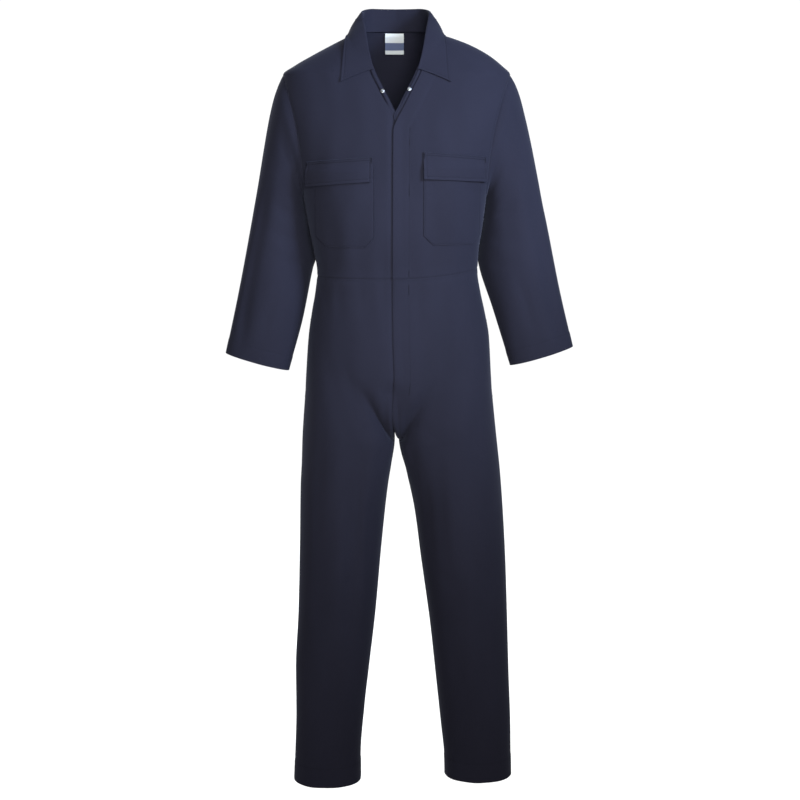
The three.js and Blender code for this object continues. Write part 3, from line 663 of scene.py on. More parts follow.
    def angle_at(self, width: Array, x: Array) -> Array:
        """Angle on a section at which it reaches a place across.

        Args:
            width: Half width of the section.
            x: Places across.

        Returns:
            The angles, 0 at the middle.
        """
        n = self.body_round
        across = np.minimum(1, np.abs(x) / width)
        return np.arctan2(np.sign(x) * across, (1 - across**n) ** (1 / n))

    def section_point(
        self, side: Side, face: Face, depth: Array, width: Array, angle: Array, z: Array
    ) -> Array:
        """Point on a section at an angle.

        Its distance is (|sin| ** n + |cos| ** n) ** (-1 / n), with n the roundness.

        Args:
            side: Side of the wearer.
            face: Front or back.
            depth: Depth of the section.
            width: Half width of the section.
            angle: Angle, where 0 is the middle of the front or back.
            z: Heights.

        Returns:
            The points.
        """
        n = self.body_round
        reach = (np.abs(np.sin(angle)) ** n + np.abs(np.cos(angle)) ** n) ** (-1 / n)
        x = side.sign * width * reach * np.sin(angle)
        y = face.sign * depth * reach * np.cos(angle)
        return np.stack(np.broadcast_arrays(x, y, z), axis=-1)

    def torso_point(self, side: Side, face: Face, share: Array, z: Array, inner_x: Array) -> Array:
        """Point of the torso at a share of the way from an inner edge to the side.

        Args:
            side: Side of the wearer.
            face: Front or back.
            share: Shares of the way.
            z: Heights.
            inner_x: Places across of the inner edge.

        Returns:
            The points, moved by the folds.
        """
        depth, width, end = self.section(side, face, z)
        inner = self.angle_at(width, side.sign * inner_x)
        return self.folded(self.section_point(side, face, depth, width, mix(inner, end, share), z))

    def trouser_point(self, side: Side, face: Face, share: Array, z: Array) -> Array:
        """Point of a trouser panel: the hip section turns into half of the leg's section.

        Args:
            side: Side of the wearer.
            face: Front or back.
            share: Shares of the way from the inner edge to the side seam.
            z: Heights.

        Returns:
            Blend of hip and leg, which near the inner edge follows a quarter circle and near the
            side seam a soft step.
        """
        high = np.maximum(z, self.crotch_z)
        hip = self.torso_point(side, face, share, high, self.front_edge(side, face, z))
        start = mix(self.rise_z, self.thigh_z, ease(0, self.thigh_start, share))
        down = np.clip((start - z) / (start - self.crotch_z), 0, 1)
        turned = mix(1 - np.sqrt(1 - down * down), ease(0, 1, down), ease(0, self.thigh_seam, share))
        leg = self.leg(side)
        outer, inner = leg.at("outer", z), leg.at("inner", z)
        angle = math.pi * (1 - share)
        n = self.leg_round + self.thigh_full * ease(*self.thigh_share, share) * ease(*self.thigh_range, z)
        across, deep = np.abs(np.cos(angle)), np.abs(np.sin(angle))
        reach = (across**n + deep**n) ** (-1 / n)
        x = side.sign * ((outer + inner) / 2 + (outer - inner) / 2 * reach * np.cos(angle))
        y = face.sign * leg.at(face.value, z) * reach * deep
        thigh = self.folded(np.stack(np.broadcast_arrays(x, y, z), axis=-1))
        return np.concatenate([mix(hip, thigh, turned[..., None])[..., :2], thigh[..., 2:]], axis=-1)

    def trouser_at(self, face: Face, x: Array, z: Array) -> Array:
        """Point of the trousers at a given x, found by halving the share of the way across.

        Args:
            face: Front or back.
            x: Places across.
            z: Heights.

        Returns:
            The points.
        """
        found = None
        for side in Side:
            low, high = np.zeros(x.shape), np.full(x.shape, self.thigh_start)
            for _ in range(self.search):
                share = (low + high) / 2
                short = (x - self.trouser_point(side, face, share, z)[..., 0]) * side.sign > 0
                low, high = np.where(short, share, low), np.where(short, high, share)
            point = self.trouser_point(side, face, low, z)
            if found is None:
                found = point
            else:
                found = np.where((x < self.edge(Side.RIGHT, z))[..., None], found, point)
        return found

    def cloth_at(self, face: Face, x: Array, z: Array) -> Array:
        """Point of the front or back cloth at a given x and height.

        Args:
            face: Front or back.
            x: Places across.
            z: Heights.

        Returns:
            The points, on the torso above and on the trousers below.
        """
        x, z = (a.astype(float) for a in np.broadcast_arrays(x, z))
        found = None
        for side in Side:
            depth, width, _ = self.section(side, face, z)
            angle = self.angle_at(width, np.abs(x))
            point = self.folded(self.section_point(side, face, depth, width, angle, z))
            found = point if found is None else np.where((x < 0)[..., None], found, point)
        if np.all(z >= self.thigh_z):
            return found
        below = self.trouser_at(face, x, z)
        return np.where((z < self.thigh_z)[..., None], below, found)

    def cloth_offset(self, face: Face, x: Array, z: Array, out: Array | float) -> Array:
        """The same point moved out of the cloth, or into it when minus, along its normal.

        Args:
            face: Front or back.
            x: Places across.
            z: Heights.
            out: Distances to move.

        Returns:
            The moved points. The normal is the cross product of the slopes across and up.
        """
        step = 2.0
        x, z, out = (a.astype(float) for a in np.broadcast_arrays(x, z, out))
        along = self.cloth_at(face, x + step, z) - self.cloth_at(face, x - step, z)
        up = self.cloth_at(face, x, z + step) - self.cloth_at(face, x, z - step)
        normal = unit(np.cross(along, up)) * (-face.sign)
        return self.cloth_at(face, x, z) + normal * out[..., None]

    def outside(self, points: Array) -> Array:
        """How far points are outside the body, as a share of the way from its middle line.

        Above the neck seam the body narrows quickly to nothing.

        Args:
            points: Points to look at.

        Returns:
            (|x / wide| ** n + |y / deep| ** n) ** (1 / n) - 1, below 0 inside the body.
        """
        x, y, z = points[..., 0], points[..., 1], points[..., 2]
        narrowed = self.neck_taper * np.maximum(0, z - self.neck_z)
        wide = np.where(x < 0, self.body.at("right", z), self.body.at("left", z))
        deep = np.where(y < 0, self.body.at("front", z), self.body.at("back", z))
        wide, deep = np.maximum(1, wide - narrowed), np.maximum(1, deep - narrowed)
        n = self.body_round
        return ((np.abs(x) / wide) ** n + (np.abs(y) / deep) ** n) ** (1 / n) - 1

    def clear_of_body(self, points: Array, clear: Array) -> Array:
        """Moves points that are too near the body out until they are clear of it.

        Args:
            points: Points to move.
            clear: Distances that they must have from the body.

        Returns:
            The points, moved four times along the slope of their distance.
        """
        steps = np.eye(3)
        for _ in range(4):
            slopes = [(self.outside(points + s) - self.outside(points - s)) / 2 for s in steps]
            rise = np.stack(slopes, axis=-1)
            steep = np.linalg.norm(rise, axis=-1)
            near = np.maximum(clear - self.outside(points) / steep, 0)
            points = points + rise * (near / steep)[..., None]
        return points


@dataclass(frozen=True)
class Work:
    """How one edge of a piece is worked.

    Attributes:
        valley: How deep the seam draws the cloth in.
        ply: How far a folded hem or lapped seam stands proud.
        width: Width of that fold.
        lines: Distances of its stitch lines from the edge.
        reach: How far the valley reaches into the cloth.
        soft: Half of the width over which the fold's step goes down.
        groove: Depth and half width of the groove that a stitch line draws.
    """

    valley: float = 0.0
    ply: float = 0.0
    width: float = 9.0
    lines: tuple[float, ...] = ()
    reach: float = 2.4
    soft: float = 1.6
    groove: Pair = (0.75, 1.6)

    def height(self, distance: Array) -> Array:
        """Height of the worked edge at distances from it.

        Args:
            distance: Distances in the cloth from the edge.

        Returns:
            Valley, raised fold and the shallow grooves in which the stitches lie.
        """
        lift = -self.valley * np.exp(-((distance / self.reach) ** 2))
        lift = lift + self.ply * (1 - ease(self.width - self.soft, self.width + self.soft, distance))
        deep, wide = self.groove
        for line in self.lines:
            lift = lift - deep * np.exp(-(((distance - line) / wide) ** 2))
        return lift


def levels(z: Array, x: float = 0.0) -> Array:
    """Points inside the form, one at the height of each row."""
    return np.stack([0 * z + x, 0 * z, z], axis=-1)


WAIST_LINE = 2.2
SEAM = Work(valley=0.9)
WAIST_SEAM = Work(valley=0.9, lines=(WAIST_LINE,))


class Cloth:
    """A cut piece of cloth: a grid of points, the way it is worked, and its thin shell."""

    def __init__(
        self, name: str, points: Array, middles: Array, closed: bool = False, thick: float = 1.1
    ) -> None:
        """Args:
        name: Name of the piece.
        points: Grid of points, rows by columns by three.
        middles: A point inside the form for each row, which tells the outside.
        closed: Whether the last column joins the first.
        thick: Thickness of the shell.
        """
        self.name = name
        self.points = points
        self.middles = middles
        self.closed = closed
        self.thick = thick
        self.flat_points = points.copy()

    def normals(self) -> Array:
        """Unit normals of the grid, all to the outside.

        Returns:
            Cross products of the steps across and down, turned away from the middles.
        """
        p = self.points
        if self.closed:
            across = np.roll(p, -1, axis=1) - np.roll(p, 1, axis=1)
        else:
            across = np.gradient(p, axis=1)
        found = unit(np.cross(across, np.gradient(p, axis=0)))
        toward = np.sum(found * (p - self.middles[:, None, :]))
        return found if toward > 0 else -found

    def lengths(self) -> tuple[Array, Array]:
        """Distances along the cloth, flat, by adding up the steps of the grid.

        Returns:
            Distances from the first column and from the first row.
        """
        p = self.flat_points
        across = np.linalg.norm(np.diff(p, axis=1), axis=-1)
        across = np.concatenate([np.zeros((len(p), 1)), np.cumsum(across, axis=1)], axis=1)
        down = np.linalg.norm(np.diff(p, axis=0), axis=-1)
        down = np.concatenate([np.zeros((1, p.shape[1])), np.cumsum(down, axis=0)], axis=0)
        return across, down

    def distances(self) -> dict[str, Array]:
        """Distance in the cloth of each point from the four edges.

        Returns:
            The distances by the name of the edge.
        """
        across, down = self.lengths()
        return {
            "first": across,
            "last": across[:, -1:] - across,
            "low": down,
            "high": down[-1:] - down,
        }

    def work(self, **edges: Work) -> Cloth:
        """Moves the cloth in and out where its edges are worked.

        Args:
            edges: Work of the edges first, last, low and high.

        Returns:
            This piece.
        """
        distances = self.distances()
        lift = sum(work.height(distances[edge]) for edge, work in edges.items())
        self.points = self.points + self.normals() * lift[..., None]
        return self

    def raised(self, lift: Array) -> Cloth:
        """Moves the cloth out by an amount at each point."""
        self.points = self.points + self.normals() * lift[..., None]
        return self

    def run(self, edge: str, inset: float, start: float = 0.0, stop: float = 0.0) -> tuple[Array, Array]:
        """A line on the outer face at a distance from one edge.

        Args:
            edge: One of first, last, low and high.
            inset: Distance from that edge.
            start: Length left out where the line begins.
            stop: Length left out where it ends.

        Returns:
            Points of the line and the normals there.
        """
        distance = self.distances()[edge]
        place = self.points
        normal = self.normals()
        if edge in ("low", "high"):
            distance = distance.T
            place = place.transpose(1, 0, 2)
            normal = normal.transpose(1, 0, 2)
            if self.closed:
                distance = np.concatenate([distance, distance[:1]])
                place = np.concatenate([place, place[:1]])
                normal = np.concatenate([normal, normal[:1]])
        if edge in ("last", "high"):
            distance, place, normal = distance[:, ::-1], place[:, ::-1], normal[:, ::-1]
        k = np.clip(np.sum(distance < inset, axis=1) - 1, 0, distance.shape[1] - 2)
        rows = np.arange(len(k))
        before, after = distance[rows, k], distance[rows, k + 1]
        f = np.clip((inset - before) / np.maximum(after - before, 1e-6), 0, 1)[:, None]
        line = mix(place[rows, k], place[rows, k + 1], f)
        way = unit(mix(normal[rows, k], normal[rows, k + 1], f))
        line = line + way * self.thick / 2
        length = np.concatenate([[0], np.cumsum(np.linalg.norm(np.diff(line, axis=0), axis=-1))])
        keep = (length >= start) & (length <= length[-1] - stop)
        return line[keep], way[keep]

    def cut(self) -> tuple[float, float, float]:
        """Width, length and area of the piece laid flat, in metres."""
        p = self.flat_points
        if self.closed:
            p = np.concatenate([p, p[:, :1]], axis=1)
        width = np.linalg.norm(np.diff(p, axis=1), axis=-1).sum(axis=1).max()
        length = np.linalg.norm(np.diff(p, axis=0), axis=-1).sum(axis=0).max()
        one = np.cross(p[1:, :-1] - p[:-1, :-1], p[:-1, 1:] - p[:-1, :-1])
        two = np.cross(p[1:, :-1] - p[1:, 1:], p[:-1, 1:] - p[1:, 1:])
        area = (np.linalg.norm(one, axis=-1) + np.linalg.norm(two, axis=-1)).sum() / 2
        return width * MM, length * MM, area * MM * MM

    def build(self, material: bpy.types.Material, slot: str, node: str | None) -> bpy.types.Object:
        """Makes the closed shell, its weave coordinates and its place in the frame.

        Args:
            material: Material of the piece.
            slot: Slot of the record from which the finish comes. Not used.
            node: Node of the frame that it stands for.

        Returns:
            The new object.
        """
        rows, columns = self.points.shape[:2]
        way = self.normals() * self.thick / 2
        vertices = np.concatenate([(self.points + way).reshape(-1, 3), (self.points - way).reshape(-1, 3)])
        layer = rows * columns
        last = columns if self.closed else columns - 1
        j, i = np.meshgrid(np.arange(rows - 1), np.arange(last), indexing="ij")
        j, i = j.ravel(), i.ravel()
        n = (i + 1) % columns
        here, below = j * columns, (j + 1) * columns
        outer = np.stack([here + i, here + n, below + n, below + i], axis=1)
        inner = outer[:, ::-1] + layer
        u, v = self.weave()
        corner = np.stack(
            [
                np.stack([u[j, i], v[j, i]], -1),
                np.stack([u[j, i + 1], v[j, n]], -1),
                np.stack([u[j + 1, i + 1], v[j + 1, n]], -1),
                np.stack([u[j + 1, i], v[j + 1, i]], -1),
            ],
            axis=1,
        )
        faces = [outer, inner]
        coords = [corner, corner[:, ::-1]]
        for k, flip in ((0, False), (rows - 1, True)):
            c = np.arange(last)
            a, b = k * columns + c, k * columns + (c + 1) % columns
            rim = np.stack([a, a + layer, b + layer, b], axis=1)
            ends = [np.stack([u[k, c + s], v[k, (c + s) % columns]], -1) for s in (0, 0, 1, 1)]
            uv = np.stack(ends, axis=1)
            faces.append(rim[:, ::-1] if flip else rim)
            coords.append(uv[:, ::-1] if flip else uv)
        if not self.closed:
            for k, flip in ((0, True), (columns - 1, False)):
                r = np.arange(rows - 1)
                a, b = r * columns + k, (r + 1) * columns + k
                rim = np.stack([a, a + layer, b + layer, b], axis=1)
                uv = np.stack([np.stack([u[r + s, k], v[r + s, k]], -1) for s in (0, 0, 1, 1)], axis=1)
                faces.append(rim[:, ::-1] if flip else rim)
                coords.append(uv[:, ::-1] if flip else uv)
        quads = np.concatenate(faces)
        uvs = np.concatenate(coords)
        a, b, c = (vertices[quads[:, k]] for k in (0, 1, 2))
        d = vertices[quads[:, 3]]
        volume = np.sum(a * np.cross(b, c)) + np.sum(a * np.cross(c, d))
        if volume < 0:
            quads, uvs = quads[:, ::-1], uvs[:, ::-1]
        obj = make_mesh(self.name, vertices, quads, material, uvs * MM)
        if node is not None:
            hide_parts(node)
        return obj

    def weave(self) -> tuple[Array, Array]:
        """Coordinates along the cloth's two threads, one column wider if closed.

        Returns:
            Distances across from the middle of each row, and down from the first row.
        """
        across, down = self.lengths()
        if self.closed:
            join = np.linalg.norm(self.flat_points[:, 0] - self.flat_points[:, -1], axis=-1)
            across = np.concatenate([across, across[:, -1:] + join[:, None]], axis=1)
        middle = across[:, -1:] / 2
        return across - middle, np.mean(down, axis=1, keepdims=True) + 0 * down


def make_mesh(
    name: str,
    vertices: Array,
    quads: Array,
    material: bpy.types.Material,
    uvs: Array | None = None,
    sharp: float = 50,
) -> bpy.types.Object:
    """Makes a smooth-shaded mesh of quads that rides on the frame.

    Args:
        name: Name of the object and its mesh.
        vertices: Points in millimetres.
        quads: Four vertex numbers for each face.
        material: Material of the mesh.
        uvs: Texture coordinates for each corner.
        sharp: Angle in degrees above which an edge stays sharp.

    Returns:
        The new object.
    """
    mesh = bpy.data.meshes.new(name)
    count = len(quads)
    mesh.vertices.add(len(vertices))
    mesh.vertices.foreach_set("co", (vertices * MM).astype(np.float32).ravel())
    mesh.loops.add(4 * count)
    mesh.loops.foreach_set("vertex_index", np.ascontiguousarray(quads).astype(np.int32).ravel())
    mesh.polygons.add(count)
    mesh.polygons.foreach_set("loop_start", np.arange(0, 4 * count, 4, dtype=np.int32))
    mesh.update(calc_edges=True)
    if uvs is not None:
        layer = mesh.uv_layers.new(name="weave")
        layer.uv.foreach_set("vector", np.ascontiguousarray(uvs).astype(np.float32).ravel())
    mesh.polygons.foreach_set("use_smooth", np.ones(count, bool))
    mesh.set_sharp_from_angle(angle=math.radians(sharp))
    mesh.validate()
    mesh.materials.append(material)
    obj = bpy.data.objects.new(name, mesh)
    bpy.context.scene.collection.objects.link(obj)
    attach(obj, BODY_NAME)
    return obj


@dataclass(frozen=True)
class Thread:
    """Sewing thread as a row of separate stitches.

    Attributes:
        pitch: Distance from stitch to stitch.
        length: Length of one stitch.
        width: Width of the thread.
        proud: How far its middle stands out of the cloth.
        flat: Height of the thread as a share of its width.
        sunk: How far its ends lie in the cloth, minus.
    """

    pitch: float = 3.3
    length: float = 2.5
    width: float = 0.62
    proud: float = 0.12
    flat: float = 0.4
    sunk: float = -0.25

    def stitch(self, points: Array, normals: Array) -> tuple[Array, Array]:
        """Stitches along a line.

        Args:
            points: Points of the line on the cloth's face.
            normals: Normals of the cloth there.

        Returns:
            Vertices and quads of all stitches.
        """
        length = np.concatenate([[0], np.cumsum(np.linalg.norm(np.diff(points, axis=0), axis=-1))])
        count = int(length[-1] / self.pitch)
        if count < 1:
            return np.zeros((0, 3)), np.zeros((0, 4), int)
        centre = (np.arange(count) + 0.5) * self.pitch

        def at(values: Array, place: Array) -> Array:
            """Values of the line at lengths along it."""
            return np.stack([np.interp(place, length, values[:, k]) for k in range(3)], axis=-1)

        middle = at(points, centre)
        along = unit(at(points, centre + self.length / 2) - at(points, centre - self.length / 2))
        up = unit(at(normals, centre))
        side = unit(np.cross(up, along))
        tip, full = 0.35, 1
        shape = (
            (-0.5, tip, self.sunk),
            (-0.28, full, self.proud),
            (0.28, full, self.proud),
            (0.5, tip, self.sunk),
        )
        vertices = []
        for f, wide, high in shape:
            for a, b in ((1, 0), (0, 1), (-1, 0), (0, -1)):
                out = high + b * wide * self.width * self.flat
                across = a * wide * self.width / 2
                vertices.append(middle + along * f * self.length + side * across + up * out)
        vertices = np.stack(vertices, axis=1)
        quads = []
        for ring in range(3):
            for k in range(4):
                a, b = 4 * ring + k, 4 * ring + (k + 1) % 4
                quads.append((a, b, b + 4, a + 4))
        quads += [(3, 2, 1, 0), (12, 13, 14, 15)]
        quads = np.array(quads)[None] + 16 * np.arange(count)[:, None, None]
        return vertices.reshape(-1, 3), quads.reshape(-1, 4)


@dataclass(frozen=True)
class BarTack:
    """A short bar of close satin stitches."""

    width: float = 1.9
    pitch: float = 0.55
    thread: float = 0.55
    proud: float = 0.3
    lean: float = 0.25

    def sew(self, start: Array, end: Array, up: Array) -> tuple[Array, Array]:
        """Crosswise stitches from start to end.

        Args:
            start: Point of one end on the cloth.
            end: Point of the other end.
            up: Normal of the cloth.

        Returns:
            Vertices and quads.
        """
        count = max(2, int(np.linalg.norm(end - start) / self.pitch))
        along = unit(end - start)
        side = unit(np.cross(up, along))
        satin = Thread(pitch=self.width * 1.01, length=self.width, width=self.thread, proud=self.proud)
        lean = along * self.lean
        found = []
        for k in range(count):
            middle = mix(start, end, (k + 0.5) / count)
            line = np.array([middle - side * self.width / 2 - lean, middle + side * self.width / 2 + lean])
            found.append(satin.stitch(line, np.array([up, up])))
        return join_parts(found)

    def down(self, line: Array, way: Array, spans: Iterable[Pair]) -> list[tuple[Array, Array]]:
        """Bars on a line, each between two heights.

        Args:
            line: Points of the line.
            way: Normals of the cloth there.
            spans: Heights of the start and end of each bar.

        Returns:
            Vertices and quads of each bar.
        """
        found = []
        for top, bottom in spans:
            k = np.argmin(np.abs(line[:, 2] - top))
            m = np.argmin(np.abs(line[:, 2] - bottom))
            found.append(self.sew(line[k], line[m], way[k]))
        return found


def join_parts(parts: Iterable[tuple[Array, Array]]) -> tuple[Array, Array]:
    """Joins vertices and quads of several parts into one.

    Args:
        parts: Vertices and quads of each part.

    Returns:
        All vertices and all quads.
    """
    vertices, quads, total = [], [], 0
    for points, faces in parts:
        vertices.append(points)
        quads.append(faces + total)
        total += len(points)
    return np.concatenate(vertices), np.concatenate(quads)


class Nodes:
    """Short way to add and link the nodes of one material."""

    def __init__(self, name: str) -> None:
        """Args:
        name: Name of the material.
        """
        self.material = bpy.data.materials.new(name)
        self.material.use_nodes = True
        self.tree = self.material.node_tree
        self.shader = self.tree.nodes["Principled BSDF"]

    def add(self, kind: str, **settings: object) -> bpy.types.Node:
        """Adds a node and sets its plain properties."""
        node = self.tree.nodes.new(kind)
        for key, value in settings.items():
            setattr(node, key, value)
        return node

    def link(self, out: bpy.types.NodeSocket, into: bpy.types.NodeSocket) -> None:
        """Links two sockets."""
        self.tree.links.new(out, into)

    def noise(
        self, coords: bpy.types.NodeSocket, stretch: Triple, scale: float, detail: float
    ) -> bpy.types.NodeSocket:
        """Noise on stretched coordinates.

        Args:
            coords: Coordinates to read.
            stretch: Factors of the three coordinates.
            scale: Scale of the noise.
            detail: Number of finer layers.

        Returns:
            Its value socket.
        """
        mapping = self.add("ShaderNodeMapping")
        mapping.inputs["Scale"].default_value = stretch
        self.link(coords, mapping.inputs["Vector"])
        noise = self.add("ShaderNodeTexNoise")
        noise.inputs["Scale"].default_value = scale
        noise.inputs["Detail"].default_value = detail
        self.link(mapping.outputs["Vector"], noise.inputs["Vector"])
        return noise.outputs["Fac"]

    def ramp(
        self, factor: bpy.types.NodeSocket, low: Triple, high: Triple, start: float = 0.0, end: float = 1.0
    ) -> bpy.types.NodeSocket:
        """Blend of two colours.

        Args:
            factor: Socket that tells the share.
            low: Colour up to the start.
            high: Colour from the end.
            start: Share at which the blend starts.
            end: Share at which it ends.

        Returns:
            Its colour socket.
        """
        ramp = self.add("ShaderNodeValToRGB")
        for element, color, place in zip(ramp.color_ramp.elements, (low, high), (start, end)):
            element.position = place
            element.color = (*color, 1)
        self.link(factor, ramp.inputs["Fac"])
        return ramp.outputs["Color"]

    def relief(self, height: bpy.types.NodeSocket, distance: float, strength: float = 1.0) -> None:
        """Gives the shader a relief of that height in metres."""
        bump = self.add("ShaderNodeBump")
        bump.inputs["Strength"].default_value = strength
        bump.inputs["Distance"].default_value = distance
        self.link(height, bump.inputs["Height"])
        self.give("Normal", bump.outputs["Normal"])

    def give(self, name: str, value: object) -> None:
        """Links a socket to an input of the shader, or sets the input to a constant."""
        socket = self.shader.inputs[name]
        if isinstance(value, bpy.types.NodeSocket):
            self.link(value, socket)
        else:
            socket.default_value = value

    def math(self, operation: str, a: object, b: object = 0.0) -> bpy.types.NodeSocket:
        """Arithmetic on sockets or numbers.

        Args:
            operation: Name of the operation.
            a: First socket or number.
            b: Second socket or number.

        Returns:
            The socket of the result.
        """
        node = self.add("ShaderNodeMath", operation=operation)
        for value, socket in ((a, node.inputs[0]), (b, node.inputs[1])):
            if isinstance(value, bpy.types.NodeSocket):
                self.link(value, socket)
            else:
                socket.default_value = value
        return node.outputs[0]


@dataclass(frozen=True)
class TwillFinish:
    """Woven twill: colour, weave and sheen.

    Attributes:
        name: Name of the material.
        dark: Colour of the threads in the hollows of the weave.
        light: Colour of the threads on top.
        roughness: Middle roughness.
        sheen: Strength of the soft sheen of the fibre ends.
        gloss: Strength of the plain reflection.
        rib: Distance from rib to rib of the twill, in metres.
        bump: Height of the weave, in metres.
    """

    name: str = "navy_twill"
    dark: Triple = (0.0026, 0.0026, 0.0046)
    light: Triple = (0.0053, 0.0053, 0.0095)
    roughness: float = 0.86
    sheen: float = 0.02
    gloss: float = 0.02
    rib: float = 0.0011
    bump: float = 0.00012

    def make(self) -> bpy.types.Material:
        """Makes the material.

        Colour is a blend by the weave, long streaks of uneven yarn and wide soft patches. The
        weave is a diagonal wave, broken up by the threads that cross it.

        Returns:
            The material.
        """
        nodes = Nodes(self.name)
        uv = nodes.add("ShaderNodeUVMap", uv_map="weave").outputs["UV"]
        wave = nodes.add("ShaderNodeTexWave", wave_type="BANDS", bands_direction="DIAGONAL")
        wave.inputs["Scale"].default_value = 2 * math.pi / (self.rib * math.sqrt(2) * 20)
        wave.inputs["Distortion"].default_value = 1.2
        wave.inputs["Detail"].default_value = 1.0
        wave.inputs["Detail Scale"].default_value = 2.0
        nodes.link(uv, wave.inputs["Vector"])
        warp = nodes.noise(uv, (1900, 90, 1), 1.0, 2.0)
        weft = nodes.noise(uv, (70, 1500, 1), 1.0, 2.0)
        grain = nodes.noise(uv, (1, 1, 1), 900.0, 3.0)
        patch = nodes.noise(uv, (7, 3, 1), 1.0, 3.0)
        height = nodes.math("MULTIPLY", wave.outputs["Fac"], 0.5)
        height = nodes.math("ADD", height, nodes.math("MULTIPLY", warp, 0.34))
        height = nodes.math("ADD", height, nodes.math("MULTIPLY", weft, 0.3))
        tone = nodes.math("ADD", nodes.math("MULTIPLY", height, 0.7), nodes.math("MULTIPLY", patch, 0.55))
        tone = nodes.math("ADD", tone, nodes.math("MULTIPLY", grain, 0.25))
        nodes.give("Base Color", nodes.ramp(tone, self.dark, self.light, 0.36))
        uneven = nodes.math("MULTIPLY", grain, 0.16)
        nodes.give("Roughness", nodes.math("ADD", uneven, self.roughness - 0.08))
        nodes.relief(height, self.bump, 0.8)
        nodes.give("Specular IOR Level", self.gloss)
        nodes.give("Sheen Weight", self.sheen)
        nodes.give("Sheen Roughness", 0.45)
        nodes.give("Sheen Tint", (0.6, 0.66, 1.0, 1))
        return nodes.material


@dataclass(frozen=True)
class ThreadFinish:
    """Twisted sewing thread in the cloth's navy, set darker than the cloth as painted shade of the grooves
    that the stitches lie in.
    """

    name: str = "navy_thread_painted_shade"
    # Both tones lie below the cloth's: the thread's own navy plus painted shade of the stitch grooves.
    dark: Triple = (0.0016, 0.0016, 0.0028)
    light: Triple = (0.0032, 0.0032, 0.0056)

    def make(self) -> bpy.types.Material:
        """Makes the material, a blend of two tones by a fine noise in the object's space."""
        nodes = Nodes(self.name)
        coords = nodes.add("ShaderNodeTexCoord").outputs["Object"]
        grain = nodes.noise(coords, (1, 1, 1), 1400.0, 2.0)
        nodes.give("Base Color", nodes.ramp(grain, self.dark, self.light, 0.3, 0.75))
        nodes.give("Roughness", nodes.math("ADD", nodes.math("MULTIPLY", grain, 0.2), 0.65))
        nodes.give("Specular IOR Level", 0.03)
        return nodes.material


@dataclass(frozen=True)
class TapeFinish:
    """White woven tape with one plain blue stripe."""

    name: str = "white_tape"
    white: Triple = (0.19, 0.195, 0.205)
    shade: Triple = (0.14, 0.145, 0.16)
    stripe: Triple = (0.005, 0.011, 0.04)
    stripe_from: float = 0.0205
    stripe_to: float = 0.0375

    def make(self) -> bpy.types.Material:
        """Makes the material: tape weave, and the stripe between two heights of the tape."""
        nodes = Nodes(self.name)
        uv = nodes.add("ShaderNodeUVMap", uv_map="weave").outputs["UV"]
        parts = nodes.add("ShaderNodeSeparateXYZ")
        nodes.link(uv, parts.inputs["Vector"])
        down = parts.outputs["Y"]
        rib = nodes.noise(uv, (250, 2600, 1), 1.0, 2.0)
        base = nodes.add("ShaderNodeMix", data_type="RGBA")
        nodes.link(rib, base.inputs["Factor"])
        base.inputs["A"].default_value = (*self.shade, 1)
        base.inputs["B"].default_value = (*self.white, 1)
        below = nodes.math("GREATER_THAN", down, self.stripe_from)
        above = nodes.math("LESS_THAN", down, self.stripe_to)
        inside = nodes.math("MULTIPLY", below, above)
        paint = nodes.add("ShaderNodeMix", data_type="RGBA")
        nodes.link(nodes.math("MULTIPLY", inside, 0.97), paint.inputs["Factor"])
        nodes.link(base.outputs["Result"], paint.inputs["A"])
        paint.inputs["B"].default_value = (*self.stripe, 1)
        nodes.give("Base Color", paint.outputs["Result"])
        nodes.relief(rib, 0.0001)
        nodes.give("Roughness", nodes.math("ADD", nodes.math("MULTIPLY", rib, 0.2), 0.65))
        return nodes.material


@dataclass(frozen=True)
class MetalFinish:
    """Satin nickel with faint rubbed marks."""

    name: str = "stud_metal"
    color: Triple = (0.15, 0.155, 0.165)

    def make(self) -> bpy.types.Material:
        """Makes the material, with a noise in its tone and its roughness."""
        nodes = Nodes(self.name)
        coords = nodes.add("ShaderNodeTexCoord").outputs["Object"]
        marks = nodes.noise(coords, (1, 1, 1), 900.0, 4.0)
        rubbed = tuple(c * 0.75 for c in self.color)
        nodes.give("Base Color", nodes.ramp(marks, rubbed, self.color))
        nodes.give("Roughness", nodes.math("ADD", nodes.math("MULTIPLY", marks, 0.25), 0.2))
        nodes.give("Metallic", 1.0)
        return nodes.material


@dataclass
class Workshop:
    """What every sub-assembly needs: the figure and the materials."""

    figure: Figure
    twill: bpy.types.Material
    strip: bpy.types.Material
    thread: bpy.types.Material
    tape: bpy.types.Material
    metal: bpy.types.Material
    sewing: Thread = Thread()

    def declare(self, obj: bpy.types.Object, cloth: Cloth, held: str, rests_on: tuple[str, ...] = ()) -> None:
        """Logs the width, length and area of a piece's cut.

        Args:
            obj: The piece. Not used.
            cloth: Its cloth.
            held: How it is held. Not used.
            rests_on: Names of the pieces that it lies on. Not used.
        """
        width, length, area = cloth.cut()
        LOG.info("%s cut %.3f x %.3f m, area %.4f", cloth.name, width, length, area)

    def stitches(self, name: str, parts: list[tuple[Array, Array]]) -> bpy.types.Object:
        """Joins stitches into one piece of thread."""
        vertices, quads = join_parts(parts)
        return make_mesh(name, vertices, quads, self.thread, None, 80)


LAP = 1.7
LAP_OVER = 22
LAP_UNDER = 12


def closing_lift(side: Side, distance: Array) -> Array:
    """How far a front stands out near the closing edge, where the left laps over the right.

    Args:
        side: Side of the wearer.
        distance: Distances in the cloth from the edge.

    Returns:
        A soft rise with a folded edge on the left, and a shallow hollow beside it on the right.
    """
    if side is Side.LEFT:
        return LAP * (1 - ease(0, LAP_OVER, distance))
    return -LAP * (1 - ease(0, LAP_UNDER, distance))


